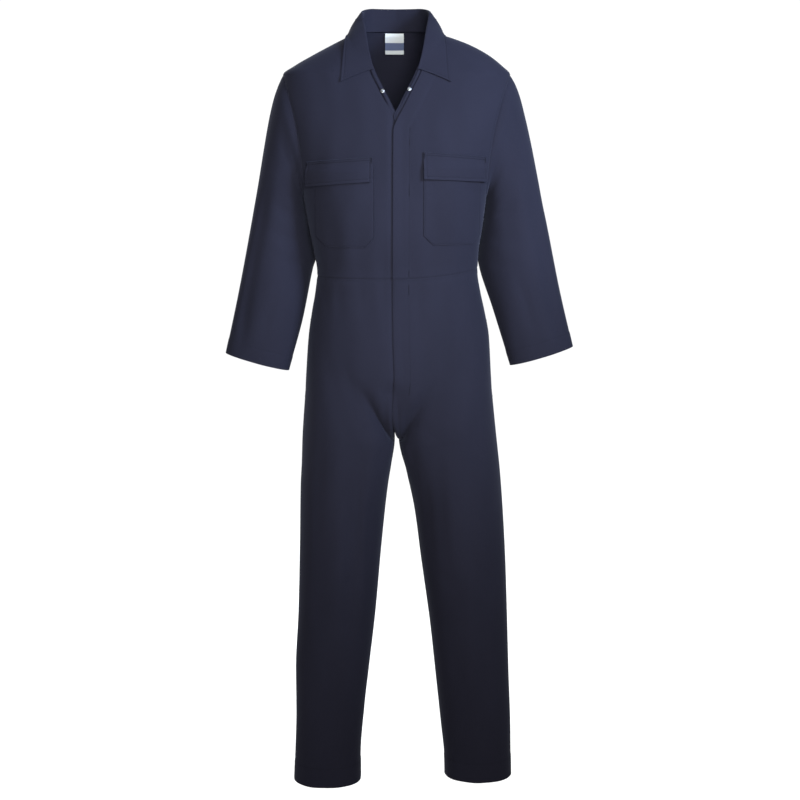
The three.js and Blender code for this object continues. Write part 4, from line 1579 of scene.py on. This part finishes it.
@dataclass
class Bodice:
    """Both fronts and the back, from the waist seam to the neck."""

    shop: Workshop
    below: int = 44
    armhole: int = 66
    shoulder: int = 18
    columns: int = 60
    top_stitch: float = 6.4
    fly: float = 33
    fly_top: float = -205
    parting: Pair = (-190, -150)
    tacks: tuple[Pair, ...] = ((-190, -226), (-305, -328), (-494, -480))

    def shares(self) -> Array:
        """Places down a panel as heights for the wearer's right, from the waist to the neck."""
        f = self.shop.figure
        low = mix(f.waist_z, f.armpit_z, crowd(self.below, 0.6)[:-1])
        middle, half = (f.shoulder_z + f.armpit_z) / 2, (f.shoulder_z - f.armpit_z) / 2
        sleeve = middle - half * np.cos(math.pi * np.arange(self.armhole + 1) / self.armhole)
        top = mix(f.shoulder_z, f.neck_z, np.arange(1, self.shoulder + 1) / self.shoulder)
        return np.concatenate([low, sleeve, top])

    def heights(self, side: Side, share: Array) -> Array:
        """Heights of the grid, rows by columns, from the slanting waist seam up."""
        f = self.shop.figure
        rows = self.shares()[:, None]
        waist = f.waist(side, share)[None, :]
        low = f.armpit_z + (rows - f.armpit_z) * (waist - f.armpit_z) / (f.waist_z - f.armpit_z)
        return np.where(rows < f.armpit_z, low, rows + 0 * waist)

    def front(self, side: Side) -> Cloth:
        """One front, whose closing edge lies over or under the other."""
        f = self.shop.figure
        share = crowd(self.columns, 0.6)
        z = self.heights(side, share)
        points = f.torso_point(side, FRONT, share[None, :] + 0 * z, z, f.edge(side, z))
        cloth = Cloth(f"front_{side.value}_cloth", points, levels(z[:, 0]))
        over = Work(ply=0.5, width=self.fly, lines=(self.fly,))
        edge = over if side is Side.LEFT else Work(valley=0.4)
        cloth.work(first=edge, last=SEAM, low=WAIST_SEAM)
        return cloth.raised(closing_lift(side, cloth.distances()["first"]) * (1 - ease(*self.parting, z)))

    def back(self) -> Cloth:
        """The back in one piece."""
        f = self.shop.figure
        share = crowd(2 * self.columns, 0.6) * 2 - 1
        right, left = (self.heights(side, np.abs(share)) for side in Side)
        z = np.where(share < 0, right, left)
        grid = share[None, :] + 0 * z
        halves = [f.torso_point(side, BACK, np.abs(grid), z, 0 * z) for side in Side]
        points = np.where((grid < 0)[..., None], halves[0], halves[1])
        points[..., 2] += f.nape_lift * ease(f.nape_z, f.neck_z, z) * (1 - grid * grid)
        cloth = Cloth("back_cloth", points, levels(z[:, 0]))
        return cloth.work(first=SEAM, last=SEAM, low=WAIST_SEAM)

    def sew(self, cloth: Cloth, edges: tuple[str, ...]) -> list[tuple[Array, Array]]:
        """Armhole and shoulder topstitching and the row above the waist seam.

        Args:
            cloth: Piece to sew.
            edges: Edges that run up the armhole.

        Returns:
            Vertices and quads of each row of stitches.
        """
        f = self.shop.figure
        found = []
        for edge in edges:
            line, way = cloth.run(edge, self.top_stitch)
            above = line[:, 2] > f.armpit_z + 4
            found.append(self.shop.sewing.stitch(line[above], way[above]))
        found.append(self.shop.sewing.stitch(*cloth.run("low", WAIST_LINE)))
        return found

    def build(self) -> None:
        """Builds the pieces and their sewing."""
        shop = self.shop
        parts = []
        for side in Side:
            cloth = self.front(side)
            obj = cloth.build(shop.twill, "navy_twill", f"front_{side.value}")
            shop.declare(obj, cloth, "hung")
            parts += self.sew(cloth, ("last",))
            if side is Side.LEFT:
                line, way = cloth.run("first", self.fly)
                low = line[:, 2] < self.fly_top
                parts.append(shop.sewing.stitch(line[low], way[low]))
                parts += BarTack().down(line, way, self.tacks)
        cloth = self.back()
        obj = cloth.build(shop.twill, "navy_twill", "back")
        shop.declare(obj, cloth, "hung")
        parts += self.sew(cloth, ("first", "last"))
        shop.stitches("stitching_bodice", parts)


@dataclass
class Sleeves:
    """Set-in sleeves with plain hems."""

    shop: Workshop
    rings: int = 112
    around: int = 100
    hem: float = 34
    seating: float = 0.2

    def sleeve(self, side: Side) -> Cloth:
        """One sleeve, a row of rings that fan round the armpit and run down the arm.

        Args:
            side: Side of the wearer.

        Returns:
            The sleeve. A ring is an ellipse between its top and its underside, whose middle is
            drawn in towards the body by the square of the sine.
        """
        f = self.shop.figure
        arm = f.arm(side)
        t = crowd(self.rings, 0.55)[:, None]
        angle = (2 * math.pi * np.arange(self.around) / self.around)[None, :]
        up = (1 + np.cos(angle)) / 2
        middle = arm.at("middle", t)
        x = mix(arm.at("under_x", t), arm.at("top_x", t), up) - arm.at("bow", t) * np.sin(angle) ** 2
        seated = mix(np.abs(np.sin(angle)), 1, ease(0, self.seating, t))
        y = middle * seated + arm.at("tuck", t) * (1 - up) - arm.at("depth", t) * np.sin(angle)
        z = mix(arm.at("under_z", t), arm.at("top_z", t), up)
        points = f.folded(np.stack(np.broadcast_arrays(side.sign * x, y, z), axis=-1), middle)
        centre_x = side.sign * (arm.at("top_x", t) + arm.at("under_x", t)) / 2
        centre_z = (arm.at("top_z", t) + arm.at("under_z", t)) / 2
        middles = np.concatenate([centre_x, middle, centre_z], axis=-1)
        cloth = Cloth(f"sleeve_{side.value}_cloth", points, middles, closed=True)
        return cloth.work(low=Work(valley=1.1), high=Work(ply=0.7, width=self.hem, lines=(self.hem - 2,)))

    def build(self) -> None:
        """Builds the sleeves and their hem stitching."""
        parts = []
        for side in Side:
            cloth = self.sleeve(side)
            obj = cloth.build(self.shop.twill, "navy_twill", f"sleeve_{side.value}")
            self.shop.declare(obj, cloth, "hung")
            parts.append(self.shop.sewing.stitch(*cloth.run("high", self.hem - 2)))
        self.shop.stitches("stitching_sleeves", parts)


@dataclass
class Trousers:
    """Two front and two back panels, from the waist seam to the hems."""

    shop: Workshop
    hips: int = 40
    rise: int = 26
    leg: int = 120
    columns: int = 60
    hem: float = 46
    spacing: float = 0.12
    leg_x: float = 130
    inseam: float = 0.8
    fly: float = 33
    fly_foot: float = -735
    tacks: tuple[Pair, ...] = ((-508, -530), (-712, -738))
    lap_fade: Pair = (-790, -720)
    mouth: Pair = (-590, -760)
    mouth_line: float = 6.5
    mouth_tack: float = 4

    def heights(self, side: Side, share: Array) -> Array:
        """Heights of the grid, rows by columns, from the slanting waist seam down."""
        f = self.shop.figure
        waist = f.waist(side, share)[None, :]
        hips = mix(waist, f.rise_z, np.linspace(0, 1, self.hips + 1)[:-1, None])
        turn = math.pi / 2 * np.arange(self.rise + 1) / self.rise
        rise = mix(f.rise_z, f.crotch_z, np.sin(turn))[:, None] + 0 * waist
        hem = f.hem_z[0] if side is Side.RIGHT else f.hem_z[1]
        down = np.arange(1, self.leg + 1) / self.leg
        down = down + self.spacing * np.sin(math.pi * down) * down
        leg = mix(f.crotch_z, hem, down)[:, None] + 0 * waist
        return np.concatenate([hips, rise, leg])

    def panel(self, side: Side, face: Face) -> Cloth:
        """One trouser panel."""
        f = self.shop.figure
        share = crowd(self.columns, 0.6)
        z = self.heights(side, share)
        points = f.trouser_point(side, face, share[None, :] + 0 * z, z)
        middles = levels(z[:, 0], side.sign * self.leg_x)
        cloth = Cloth(f"trouser_{face.value}_{side.value}_cloth", points, middles)
        hem = Work(ply=0.8, width=self.hem, lines=(self.hem - 2,))
        cloth.work(first=Work(valley=self.inseam), last=SEAM, low=WAIST_SEAM, high=hem)
        if face is FRONT:
            lap = 0.4 + 0.6 * ease(*self.lap_fade, z)
            cloth.raised(closing_lift(side, cloth.distances()["first"]) * lap)
        return cloth

    def build(self) -> None:
        """Builds the panels, the fly and hem stitching and the bar tacks."""
        shop = self.shop
        parts = []
        for side in Side:
            for face in Face:
                cloth = self.panel(side, face)
                obj = cloth.build(shop.twill, "navy_twill", f"trouser_{face.value}_{side.value}")
                shop.declare(obj, cloth, "hung")
                parts.append(shop.sewing.stitch(*cloth.run("low", WAIST_LINE)))
                parts.append(shop.sewing.stitch(*cloth.run("high", self.hem - 2)))
                line, way = cloth.run("last", self.mouth_line)
                mouth = (line[:, 2] < self.mouth[0]) & (line[:, 2] > self.mouth[1])
                parts.append(shop.sewing.stitch(line[mouth], way[mouth]))
                if face is FRONT:
                    for height in self.mouth:
                        k = np.argmin(np.abs(line[:, 2] - height))
                        out = np.cross(way[k], unit(line[k + 1] - line[k])) * self.mouth_tack
                        parts.append(BarTack().sew(line[k] - out, line[k] + out, way[k]))
                if face is FRONT and side is Side.LEFT:
                    line, way = cloth.run("first", self.fly)
                    above = line[:, 2] > self.fly_foot
                    parts.append(shop.sewing.stitch(line[above], way[above]))
                    parts += BarTack().down(line, way, self.tacks)
        shop.stitches("stitching_trousers", parts)


@dataclass
class Collar:
    """Turned-down collar with its stand."""

    shop: Workshop
    columns: int = 96
    stand_rows: int = 12
    roll_rows: int = 10
    fall_rows: int = 26
    roll_radius: Pair = (3, 1.6)
    clear: Pair = (2.8, 1.6)
    bulge: Triple = (6, 3.6, 2.8)
    shoulder: float = 0.55
    neck_up: float = 1.6
    neck_in: float = 2.3
    thick: float = 1.6
    edge_line: float = 6
    stations: Table = Table(
        "u roll_x roll_y roll_z edge_x edge_y edge_z",
        (0.0, 0, 71, 60, 0, 94, -12),
        (0.25, 45, 61, 60, 62, 86, -14),
        (0.42, 65, 33, 55, 94, 54, -13),
        (0.55, 69, -4, 47, 99, 2, 2),
        (0.63, 66, -26, 29, 102, -30, -6),
        (0.72, 62, -50, 9, 105, -62, -32),
        (0.87, 54, -80, -36, 109, -86, -66),
        (1.0, 44, -99, -73, 112, -103, -98),
    )

    def neckline(self, u: Array) -> Array:
        """Neck seam over the shoulder.

        Args:
            u: Shares of the way from the middle of the back to the front end.

        Returns:
            The points, on the back up to the shoulder and on the front's edge from there.
        """
        f = self.shop.figure
        behind = np.minimum(u / self.shoulder, 1)
        back = f.torso_point(Side.LEFT, BACK, behind, 0 * u + f.neck_z, 0 * u)
        back[..., 2] += f.nape_lift * (1 - behind**2)
        ahead = np.clip((u - self.shoulder) / (1 - self.shoulder), 0, 1)
        z = mix(f.neck_z, self.stations.at("roll_z", 1.0), ahead)
        front = f.cloth_at(FRONT, f.edge(Side.LEFT, z), z)
        return np.where((u <= self.shoulder)[..., None], back, front)

    def sheet(self) -> Cloth:
        """The collar: up from the neck seam, over the roll and down to its edge.

        Returns:
            Its cloth. Straight up the stand, half a circle over the roll, then a line to the edge
            that is bulged by a half sine and kept clear of the body.
        """
        station = crowd(2 * self.columns, 0.5) * 2 - 1
        u = np.abs(station)

        def point(kind: str) -> Array:
            """Points of one of the two drawn lines."""
            return np.stack([self.stations.at(f"{kind}_{axis}", u) for axis in "xyz"], axis=-1)

        roll, edge, seam = point("roll"), point("edge"), self.neckline(u)
        up = unit(roll - seam)
        outward = unit((edge - roll) * np.array([1, 1, 0]))
        seam = seam + up * self.neck_up - outward * self.neck_in
        rise = np.arange(self.stand_rows) / self.stand_rows
        line = [mix(seam, roll, f) for f in rise]
        radius = mix(self.roll_radius[0], self.roll_radius[1], ease(0.1, 0.4, u))[:, None]
        for k in range(self.roll_rows + 1):
            turn = math.pi * k / self.roll_rows
            line.append(roll + outward * radius * (1 - math.cos(turn)) + up * radius * (math.sin(turn) - 1))
        start = line[-1]
        bulge = mix(self.bulge[0], self.bulge[1], ease(0.15, 0.4, u))
        bulge = mix(bulge, self.bulge[2], ease(0.6, 1, u))[:, None]
        for share in crowd(self.fall_rows, 0.4)[1:]:
            line.append(mix(start, edge, share) + outward * bulge * math.sin(math.pi * share))
        points = np.stack(line)
        fall = points[self.stand_rows + 1 :]
        clear = mix(*self.clear, np.linspace(0, 1, len(fall)))[:, None]
        points[self.stand_rows + 1 :] = self.shop.figure.clear_of_body(fall, clear)
        points[..., 0] = np.where(station < 0, -points[..., 0], points[..., 0])
        cloth = Cloth("collar_cloth", points, 0 * points[:, 0], thick=self.thick)
        turned = Work(ply=0.25, width=self.edge_line, lines=(self.edge_line,))
        return cloth.work(high=turned, low=Work(valley=0.5))

    def build(self) -> None:
        """Builds the collar and its edge stitching."""
        cloth = self.sheet()
        obj = cloth.build(self.shop.twill, "navy_twill", "collar")
        self.shop.declare(obj, cloth, "folded")
        inset = self.edge_line
        parts = [self.shop.sewing.stitch(*cloth.run("high", inset, inset, inset))]
        for edge in ("first", "last"):
            line, way = cloth.run(edge, inset)
            fall = np.arange(len(line)) > len(line) - self.fall_rows
            parts.append(self.shop.sewing.stitch(line[fall], way[fall]))
        self.shop.stitches("stitching_collar", parts)


Limits = Callable[[Array], tuple[Array, Array]]
Offset = Callable[[Array, Array, Array], Array]


@dataclass
class LaidPiece:
    """A piece of cloth that lies on the front or back, between limits across."""

    shop: Workshop
    name: str
    face: Face = FRONT
    thick: float = 1.1

    def sheet(self, heights: Array, limits: Limits, offset: Offset, columns: int) -> Cloth:
        """Grid of the piece.

        Args:
            heights: Heights, one for each row, or rows by columns.
            limits: Places across at which a row starts and ends.
            offset: Distance from the cloth for places across, heights and shares.
            columns: Number of columns.

        Returns:
            The piece of cloth.
        """
        share = crowd(columns, 0.5)
        z = heights if heights.ndim == 2 else heights[:, None] + 0 * share[None, :]
        start, end = limits(z)
        x = mix(start, end, share[None, :])
        points = self.shop.figure.cloth_offset(self.face, x, z, offset(x, z, share[None, :] + 0 * z))
        return Cloth(self.name, points, levels(z.mean(axis=1)), thick=self.thick)


@dataclass(frozen=True)
class PocketSize:
    """Corners of one breast pocket and its flap, as places across and heights."""

    inner: float
    outer: float
    top: float
    cut: float
    low: float
    cut_inner: float
    cut_outer: float
    flap_inner: float
    flap_outer: float
    flap_top: Pair
    flap_low: Pair


@dataclass
class BreastPockets:
    """Patch pockets with cut corners, each under its flap."""

    shop: Workshop
    near: float = 1.7
    full: float = 2.6
    flap_out: float = 7.6
    pocket_line: float = 2.2
    flap_line: float = 5.5
    flap_rows: Pair = (2, 6)
    sizes: dict[Side, PocketSize] = field(
        default_factory=lambda: {
            Side.RIGHT: PocketSize(-43, -165, -269, 21, -432, 19, 21, -47, -181, (-249, -258), (-298, -308)),
            Side.LEFT: PocketSize(57, 173, -262, 19, -427, 19, 14, 56, 182, (-239, -248), (-293, -298)),
        }
    )

    def pocket(self, side: Side) -> Cloth:
        """One pocket, close to the front round its sewn edge and a little full between."""
        size = self.sizes[side]

        def limits(z: Array) -> tuple[Array, Array]:
            """Sides, drawn in by the cut corners near the bottom."""
            cut = np.maximum(0, 1 - (z[:, :1] - size.low) / size.cut)
            start = size.inner + side.sign * size.cut_inner * cut
            return start, size.outer - side.sign * size.cut_outer * cut

        def offset(x: Array, z: Array, share: Array) -> Array:
            """Close at the seams, full between them by soft steps from each side."""
            down = (z - size.low) / (size.top - size.low)
            full = ease(0, 0.35, share) * ease(1, 0.6, share) * ease(0, 0.4, down)
            uneven = 0.5 * np.sin(x / 17 + z / 90) * full
            return self.near + self.full * full + uneven

        heights = size.top + (size.low - size.top) * crowd(64, 0.5)
        piece = LaidPiece(self.shop, f"pocket_{side.value}_cloth", thick=1.5)
        cloth = piece.sheet(heights, limits, offset, 54)
        sewn = Work(ply=0.25, width=2.6, lines=(self.pocket_line,))
        return cloth.work(first=sewn, last=sewn, high=sewn, low=Work(ply=0.3, width=20))

    def flap(self, side: Side) -> Cloth:
        """One flap, sewn along its top and hanging over the pocket."""
        size = self.sizes[side]

        def limits(z: Array) -> tuple[Array, Array]:
            """Straight sides."""
            return size.flap_inner + 0 * z[:, :1], size.flap_outer + 0 * z[:, :1]

        def offset(x: Array, z: Array, share: Array) -> Array:
            """A soft step out over the pocket, with a slight wave along the flap."""
            fallen = ease(size.top + 8, size.top - 12, z)
            wavy = 0.6 * np.sin(share * 5.3 + 0.7) * fallen
            return mix(self.near + 1.5, self.flap_out, fallen) + wavy

        share = crowd(60, 0.5)[None, :]
        down = crowd(34, 0.5)[:, None]
        top = mix(size.flap_top[0], size.flap_top[1], share)
        low = mix(size.flap_low[0], size.flap_low[1], share)
        piece = LaidPiece(self.shop, f"flap_{side.value}_cloth", thick=2.2)
        cloth = piece.sheet(mix(top, low, down), limits, offset, 60)
        edge = Work(ply=0.45, width=self.flap_line, lines=(self.flap_line,))
        top_edge = Work(ply=0.8, width=5.5, lines=self.flap_rows)
        return cloth.work(first=edge, last=edge, high=edge, low=top_edge)

    def build(self) -> None:
        """Builds pockets and flaps and their stitching."""
        shop = self.shop
        parts = []
        for side in Side:
            cloth = self.pocket(side)
            obj = cloth.build(shop.twill, "navy_twill", f"pocket_{side.value}")
            shop.declare(obj, cloth, "laid", (f"front_{side.value}_cloth",))
            for edge in ("first", "last", "high"):
                parts.append(shop.sewing.stitch(*cloth.run(edge, self.pocket_line, 2, 2)))
            cloth = self.flap(side)
            obj = cloth.build(shop.twill, "navy_twill", f"flap_{side.value}")
            shop.declare(obj, cloth, "laid", (f"front_{side.value}_cloth",))
            for edge in ("first", "last", "high"):
                parts.append(shop.sewing.stitch(*cloth.run(edge, self.flap_line, 5, 5)))
            for row in self.flap_rows:
                parts.append(shop.sewing.stitch(*cloth.run("low", row, 1, 1)))
            for edge in ("first", "last"):
                line, way = cloth.run(edge, 2.0)
                parts.append(BarTack().sew(line[1], line[len(line) // 3], way[1]))
        shop.stitches("stitching_pockets", parts)


@dataclass
class Closing:
    """Strips inside the front edges and the two studs that show in the V."""

    shop: Workshop
    layer: float = 1.8
    room: float = 1.9
    roll: float = 3.4
    roll_z: Pair = (-152, -128)
    shows: float = 12
    shows_z: Pair = (-186, -160)
    rows: int = 150
    columns: int = 40
    edge_line: float = 2.5
    sewn_z: float = -196
    facing_width: float = 33
    facing_behind: float = 20
    facing_z: Pair = (-66, -742)
    underlap_behind: float = 20
    underlap_past: float = 24
    underlap_z: Pair = (-66, -736)
    step: Pair = (17, 7)
    foot: Pair = (-190, -150)
    stud_z: Pair = (-117, -113)
    stud_edge: float = 7
    stud_sides: int = 40
    stud_proud: float = 0.62
    stud_outline: tuple[Pair, ...] = (
        (0.02, 0.0), (3.9, 0.0), (4.1, 0.15), (4.15, 0.45), (4.0, 0.75), (3.5, 0.9), (3.1, 0.78),
        (2.9, 0.95), (2.75, 1.3), (2.45, 1.7), (2.3, 2.1), (2.35, 2.45), (2.2, 2.8), (1.8, 3.05),
        (1.1, 3.15), (0.9, 3.0), (0.6, 2.75), (0.02, 2.7),
    )

    def facing_start(self, z: Array) -> Array:
        """Left edge of the facing: beside the V it shows, below it is level with the closing."""
        return self.shop.figure.edge(Side.LEFT, z) - self.shows * ease(*self.shows_z, z)

    def rolled(self, past: Array, z: Array) -> Array:
        """Soft roll of a strip where it shows in the V.

        Args:
            past: How far a place lies past the edge of the front.
            z: Heights.

        Returns:
            Rise from the front's edge to a rounded top, and down again at the strip's own edge.
        """
        across = ease(1.5, 5, past) * (1 - 0.75 * ease(7, 12.5, past))
        return self.roll * across * ease(*self.roll_z, z)

    def facing(self) -> Cloth:
        """The strip behind the left front."""
        f = self.shop.figure

        def limits(z: Array) -> tuple[Array, Array]:
            """From the closing line to behind the front, less far beside the V."""
            z = z[:, :1]
            reach = mix(self.facing_width, self.facing_behind, ease(*self.foot, z))
            return self.facing_start(z), f.edge(Side.LEFT, z) + reach

        heights = np.linspace(*self.facing_z, self.rows)
        piece = LaidPiece(self.shop, "fly_facing_cloth")
        near = -self.layer - self.room

        def offset(x: Array, z: Array, share: Array) -> Array:
            """Behind the front, and rolled forwards beside the V."""
            return near + self.rolled(f.edge(Side.LEFT, z) - x, z)

        cloth = piece.sheet(heights, limits, offset, self.columns)
        return cloth.work(first=Work(ply=0.25, width=3, lines=(self.edge_line,)))

    def underlap(self) -> Cloth:
        """The strip behind the right front, which passes under the facing."""
        f = self.shop.figure

        def limits(z: Array) -> tuple[Array, Array]:
            """From behind the right front to past its edge."""
            z = z[:, :1]
            edge = f.edge(Side.RIGHT, z)
            past = mix(self.underlap_past, self.shows, ease(*self.foot, z))
            return edge - self.underlap_behind, edge + past

        def offset(x: Array, z: Array, share: Array) -> Array:
            """Behind the front, and one layer deeper where it passes under the facing."""
            start = self.facing_start(z)
            near = self.layer + self.room
            under = mix(near, near + self.layer + 0.3, ease(start - self.step[0], start - self.step[1], x))
            return self.rolled(x - f.edge(Side.RIGHT, z), z) - under

        heights = np.linspace(*self.underlap_z, self.rows)
        piece = LaidPiece(self.shop, "underlap_cloth")
        cloth = piece.sheet(heights, limits, offset, self.columns)
        return cloth.work(last=Work(ply=0.25, width=3, lines=(self.edge_line,)))

    def stud(self, side: Side) -> None:
        """A press stud, its outline turned about its axis on the strip."""
        f = self.shop.figure
        z = np.array(self.stud_z[0] if side is Side.RIGHT else self.stud_z[1])
        x = f.edge(side, z) - side.sign * self.stud_edge
        seat = -self.layer - self.room + self.stud_proud + self.roll
        foot = f.cloth_offset(FRONT, x, z, seat)
        axis = unit(f.cloth_offset(FRONT, x, z, seat + 10) - foot)
        one = unit(np.cross(axis, np.array([0.0, 0.0, 1.0])))
        two = np.cross(axis, one)
        count = self.stud_sides
        turn = 2 * math.pi * np.arange(count)[None, :] / count
        outline = np.array(self.stud_outline)
        radius, height = outline[:, :1], outline[:, 1:]
        ring = one * (radius * np.cos(turn))[..., None] + two * (radius * np.sin(turn))[..., None]
        points = (foot + ring + axis * height[..., None]).reshape(-1, 3)
        j, i = np.meshgrid(np.arange(len(outline) - 1), np.arange(count), indexing="ij")
        n = (i + 1) % count
        here, above = j * count, (j + 1) * count
        quads = np.stack([above + i, above + n, here + n, here + i], axis=-1).reshape(-1, 4)
        obj = make_mesh(f"stud_{side.value}_metal", points, quads, self.shop.metal, None, 70)
        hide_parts(f"stud_{side.value}")

    def build(self) -> None:
        """Builds the strips, their stitching and the studs."""
        shop = self.shop
        parts = []
        strips = ((self.facing(), "fly_facing", "first"), (self.underlap(), "underlap", "last"))
        for cloth, node, edge in strips:
            obj = cloth.build(shop.strip, "navy_twill_strip", node)
            shop.declare(obj, cloth, "laid")
            line, way = cloth.run(edge, self.edge_line)
            shown = line[:, 2] > self.sewn_z
            parts.append(shop.sewing.stitch(line[shown], way[shown]))
        for side in Side:
            self.stud(side)
        shop.stitches("stitching_closing", parts)


@dataclass
class NeckLabel:
    """A bare tape label that hangs inside the back of the neck."""

    shop: Workshop
    right: float = -23
    left: float = 17
    top: float = 10
    bottom: float = -31
    seat: float = -2.5
    sag: float = 0.35
    thick: float = 0.6

    def build(self) -> None:
        """Builds the label."""

        def limits(z: Array) -> tuple[Array, Array]:
            """Straight sides."""
            return self.right + 0 * z[:, :1], self.left + 0 * z[:, :1]

        def offset(x: Array, z: Array, share: Array) -> Array:
            """Behind the back's inner face, with a half sine that grows downwards."""
            hang = ease(self.top, self.bottom, z)
            return self.seat - self.sag * np.sin(share * math.pi) * hang

        heights = np.linspace(self.top, self.bottom, 30)
        piece = LaidPiece(self.shop, "neck_label_tape", BACK, self.thick)
        cloth = piece.sheet(heights, limits, offset, 24)
        obj = cloth.build(self.shop.tape, "white_tape", "neck_label")
        self.shop.declare(obj, cloth, "hung")


@dataclass
class Studio:
    """Camera, soft lights, a pale floor and a pale surround."""

    camera_place: Triple = (0.0086, -3.2594, -0.2509)
    camera_tilt: float = 81
    lens: float = 68.75
    sensor: float = 36
    floor_z: float = -1.85
    floor_reach: float = 30
    surround: float = 1.04

    def camera(self) -> None:
        """Camera at the photograph's angle, with no shift."""
        data = bpy.data.cameras.new("camera")
        data.lens = self.lens
        data.sensor_width = self.sensor
        obj = bpy.data.objects.new("camera", data)
        obj.location = self.camera_place
        obj.rotation_euler = (math.radians(self.camera_tilt), 0, 0)
        bpy.context.scene.collection.objects.link(obj)
        bpy.context.scene.camera = obj

    def light(
        self,
        name: str,
        place: Triple,
        aim: Triple,
        size: float,
        watts: float,
        color: Triple,
        spread: float = 180,
    ) -> None:
        """A square soft light that points at a place.

        Args:
            name: Name of the light.
            place: Its place in metres.
            aim: The place that it points at.
            size: Its side in metres.
            watts: Its power.
            color: Its colour.
            spread: Its spread in degrees.
        """
        data = bpy.data.lights.new(name, "AREA")
        data.shape = "SQUARE"
        data.size = size
        data.energy = watts
        data.spread = math.radians(spread)
        data.color = color
        obj = bpy.data.objects.new(name, data)
        obj.location = place
        way = np.array(place) - np.array(aim)
        obj.rotation_euler = (math.atan2(math.hypot(way[0], way[1]), way[2]), 0, math.atan2(way[0], -way[1]))
        bpy.context.scene.collection.objects.link(obj)

    def floor(self) -> None:
        """A large pale floor under the suit."""
        mesh = bpy.data.meshes.new("floor")
        corners = ((-1, -1), (1, -1), (1, 1), (-1, 1))
        points = [(a * self.floor_reach, b * self.floor_reach, self.floor_z) for a, b in corners]
        mesh.from_pydata(points, [], [(0, 1, 2, 3)])
        nodes = Nodes("pale_floor")
        coords = nodes.add("ShaderNodeTexCoord").outputs["Object"]
        tone = nodes.noise(coords, (1, 1, 1), 3.0, 2.0)
        nodes.give("Base Color", nodes.ramp(tone, (0.975,) * 3, (0.985,) * 3))
        nodes.give("Roughness", 0.9)
        mesh.materials.append(nodes.material)
        obj = bpy.data.objects.new("floor", mesh)
        bpy.context.scene.collection.objects.link(obj)

    def build(self) -> None:
        """Sets up the whole studio."""
        self.camera()
        self.floor()
        world = bpy.data.worlds.new("surround")
        world.use_nodes = True
        world.node_tree.nodes["Background"].inputs["Color"].default_value = (1, 1, 1, 1)
        world.node_tree.nodes["Background"].inputs["Strength"].default_value = self.surround
        bpy.context.scene.world = world
        bpy.context.scene.view_settings.view_transform = "Standard"
        self.light("key", (1.6, -1.6, 0.5), (0.1, 0, -0.15), 0.8, 29, (0.62, 0.78, 1.0), 50)
        self.light("front", (0.3, -2.6, 0.0), (0.02, 0, -0.35), 1.0, 18, (0.95, 1.0, 0.95), 40)
        self.light("low", (0, -2.8, -1.0), (0, 0, -1.2), 1.2, 9.5, (1.0, 0.95, 0.8), 60)
        self.light("behind", (-1.4, 2.2, 0.9), (0, 0, -0.6), 1.6, 34, (1, 1, 1))


@dataclass
class BoilerSuit:
    """The whole garment."""

    shop: Workshop

    def build(self) -> None:
        """Builds each sub-assembly."""
        for part in (Bodice, Sleeves, Trousers, Collar, BreastPockets, Closing, NeckLabel):
            LOG.info("building %s", part.__name__)
            part(self.shop).build()


def main() -> None:
    """Loads the frame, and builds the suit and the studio."""
    logging.basicConfig(level=logging.INFO, format="%(name)s: %(message)s")
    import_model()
    Studio().build()
    shop = Workshop(
        figure=Figure(),
        twill=TwillFinish().make(),
        strip=TwillFinish(name="navy_twill_strip", sheen=0.01).make(),
        thread=ThreadFinish().make(),
        tape=TapeFinish().make(),
        metal=MetalFinish().make(),
    )
    BoilerSuit(shop).build()


if __name__ == "__main__":
    main()
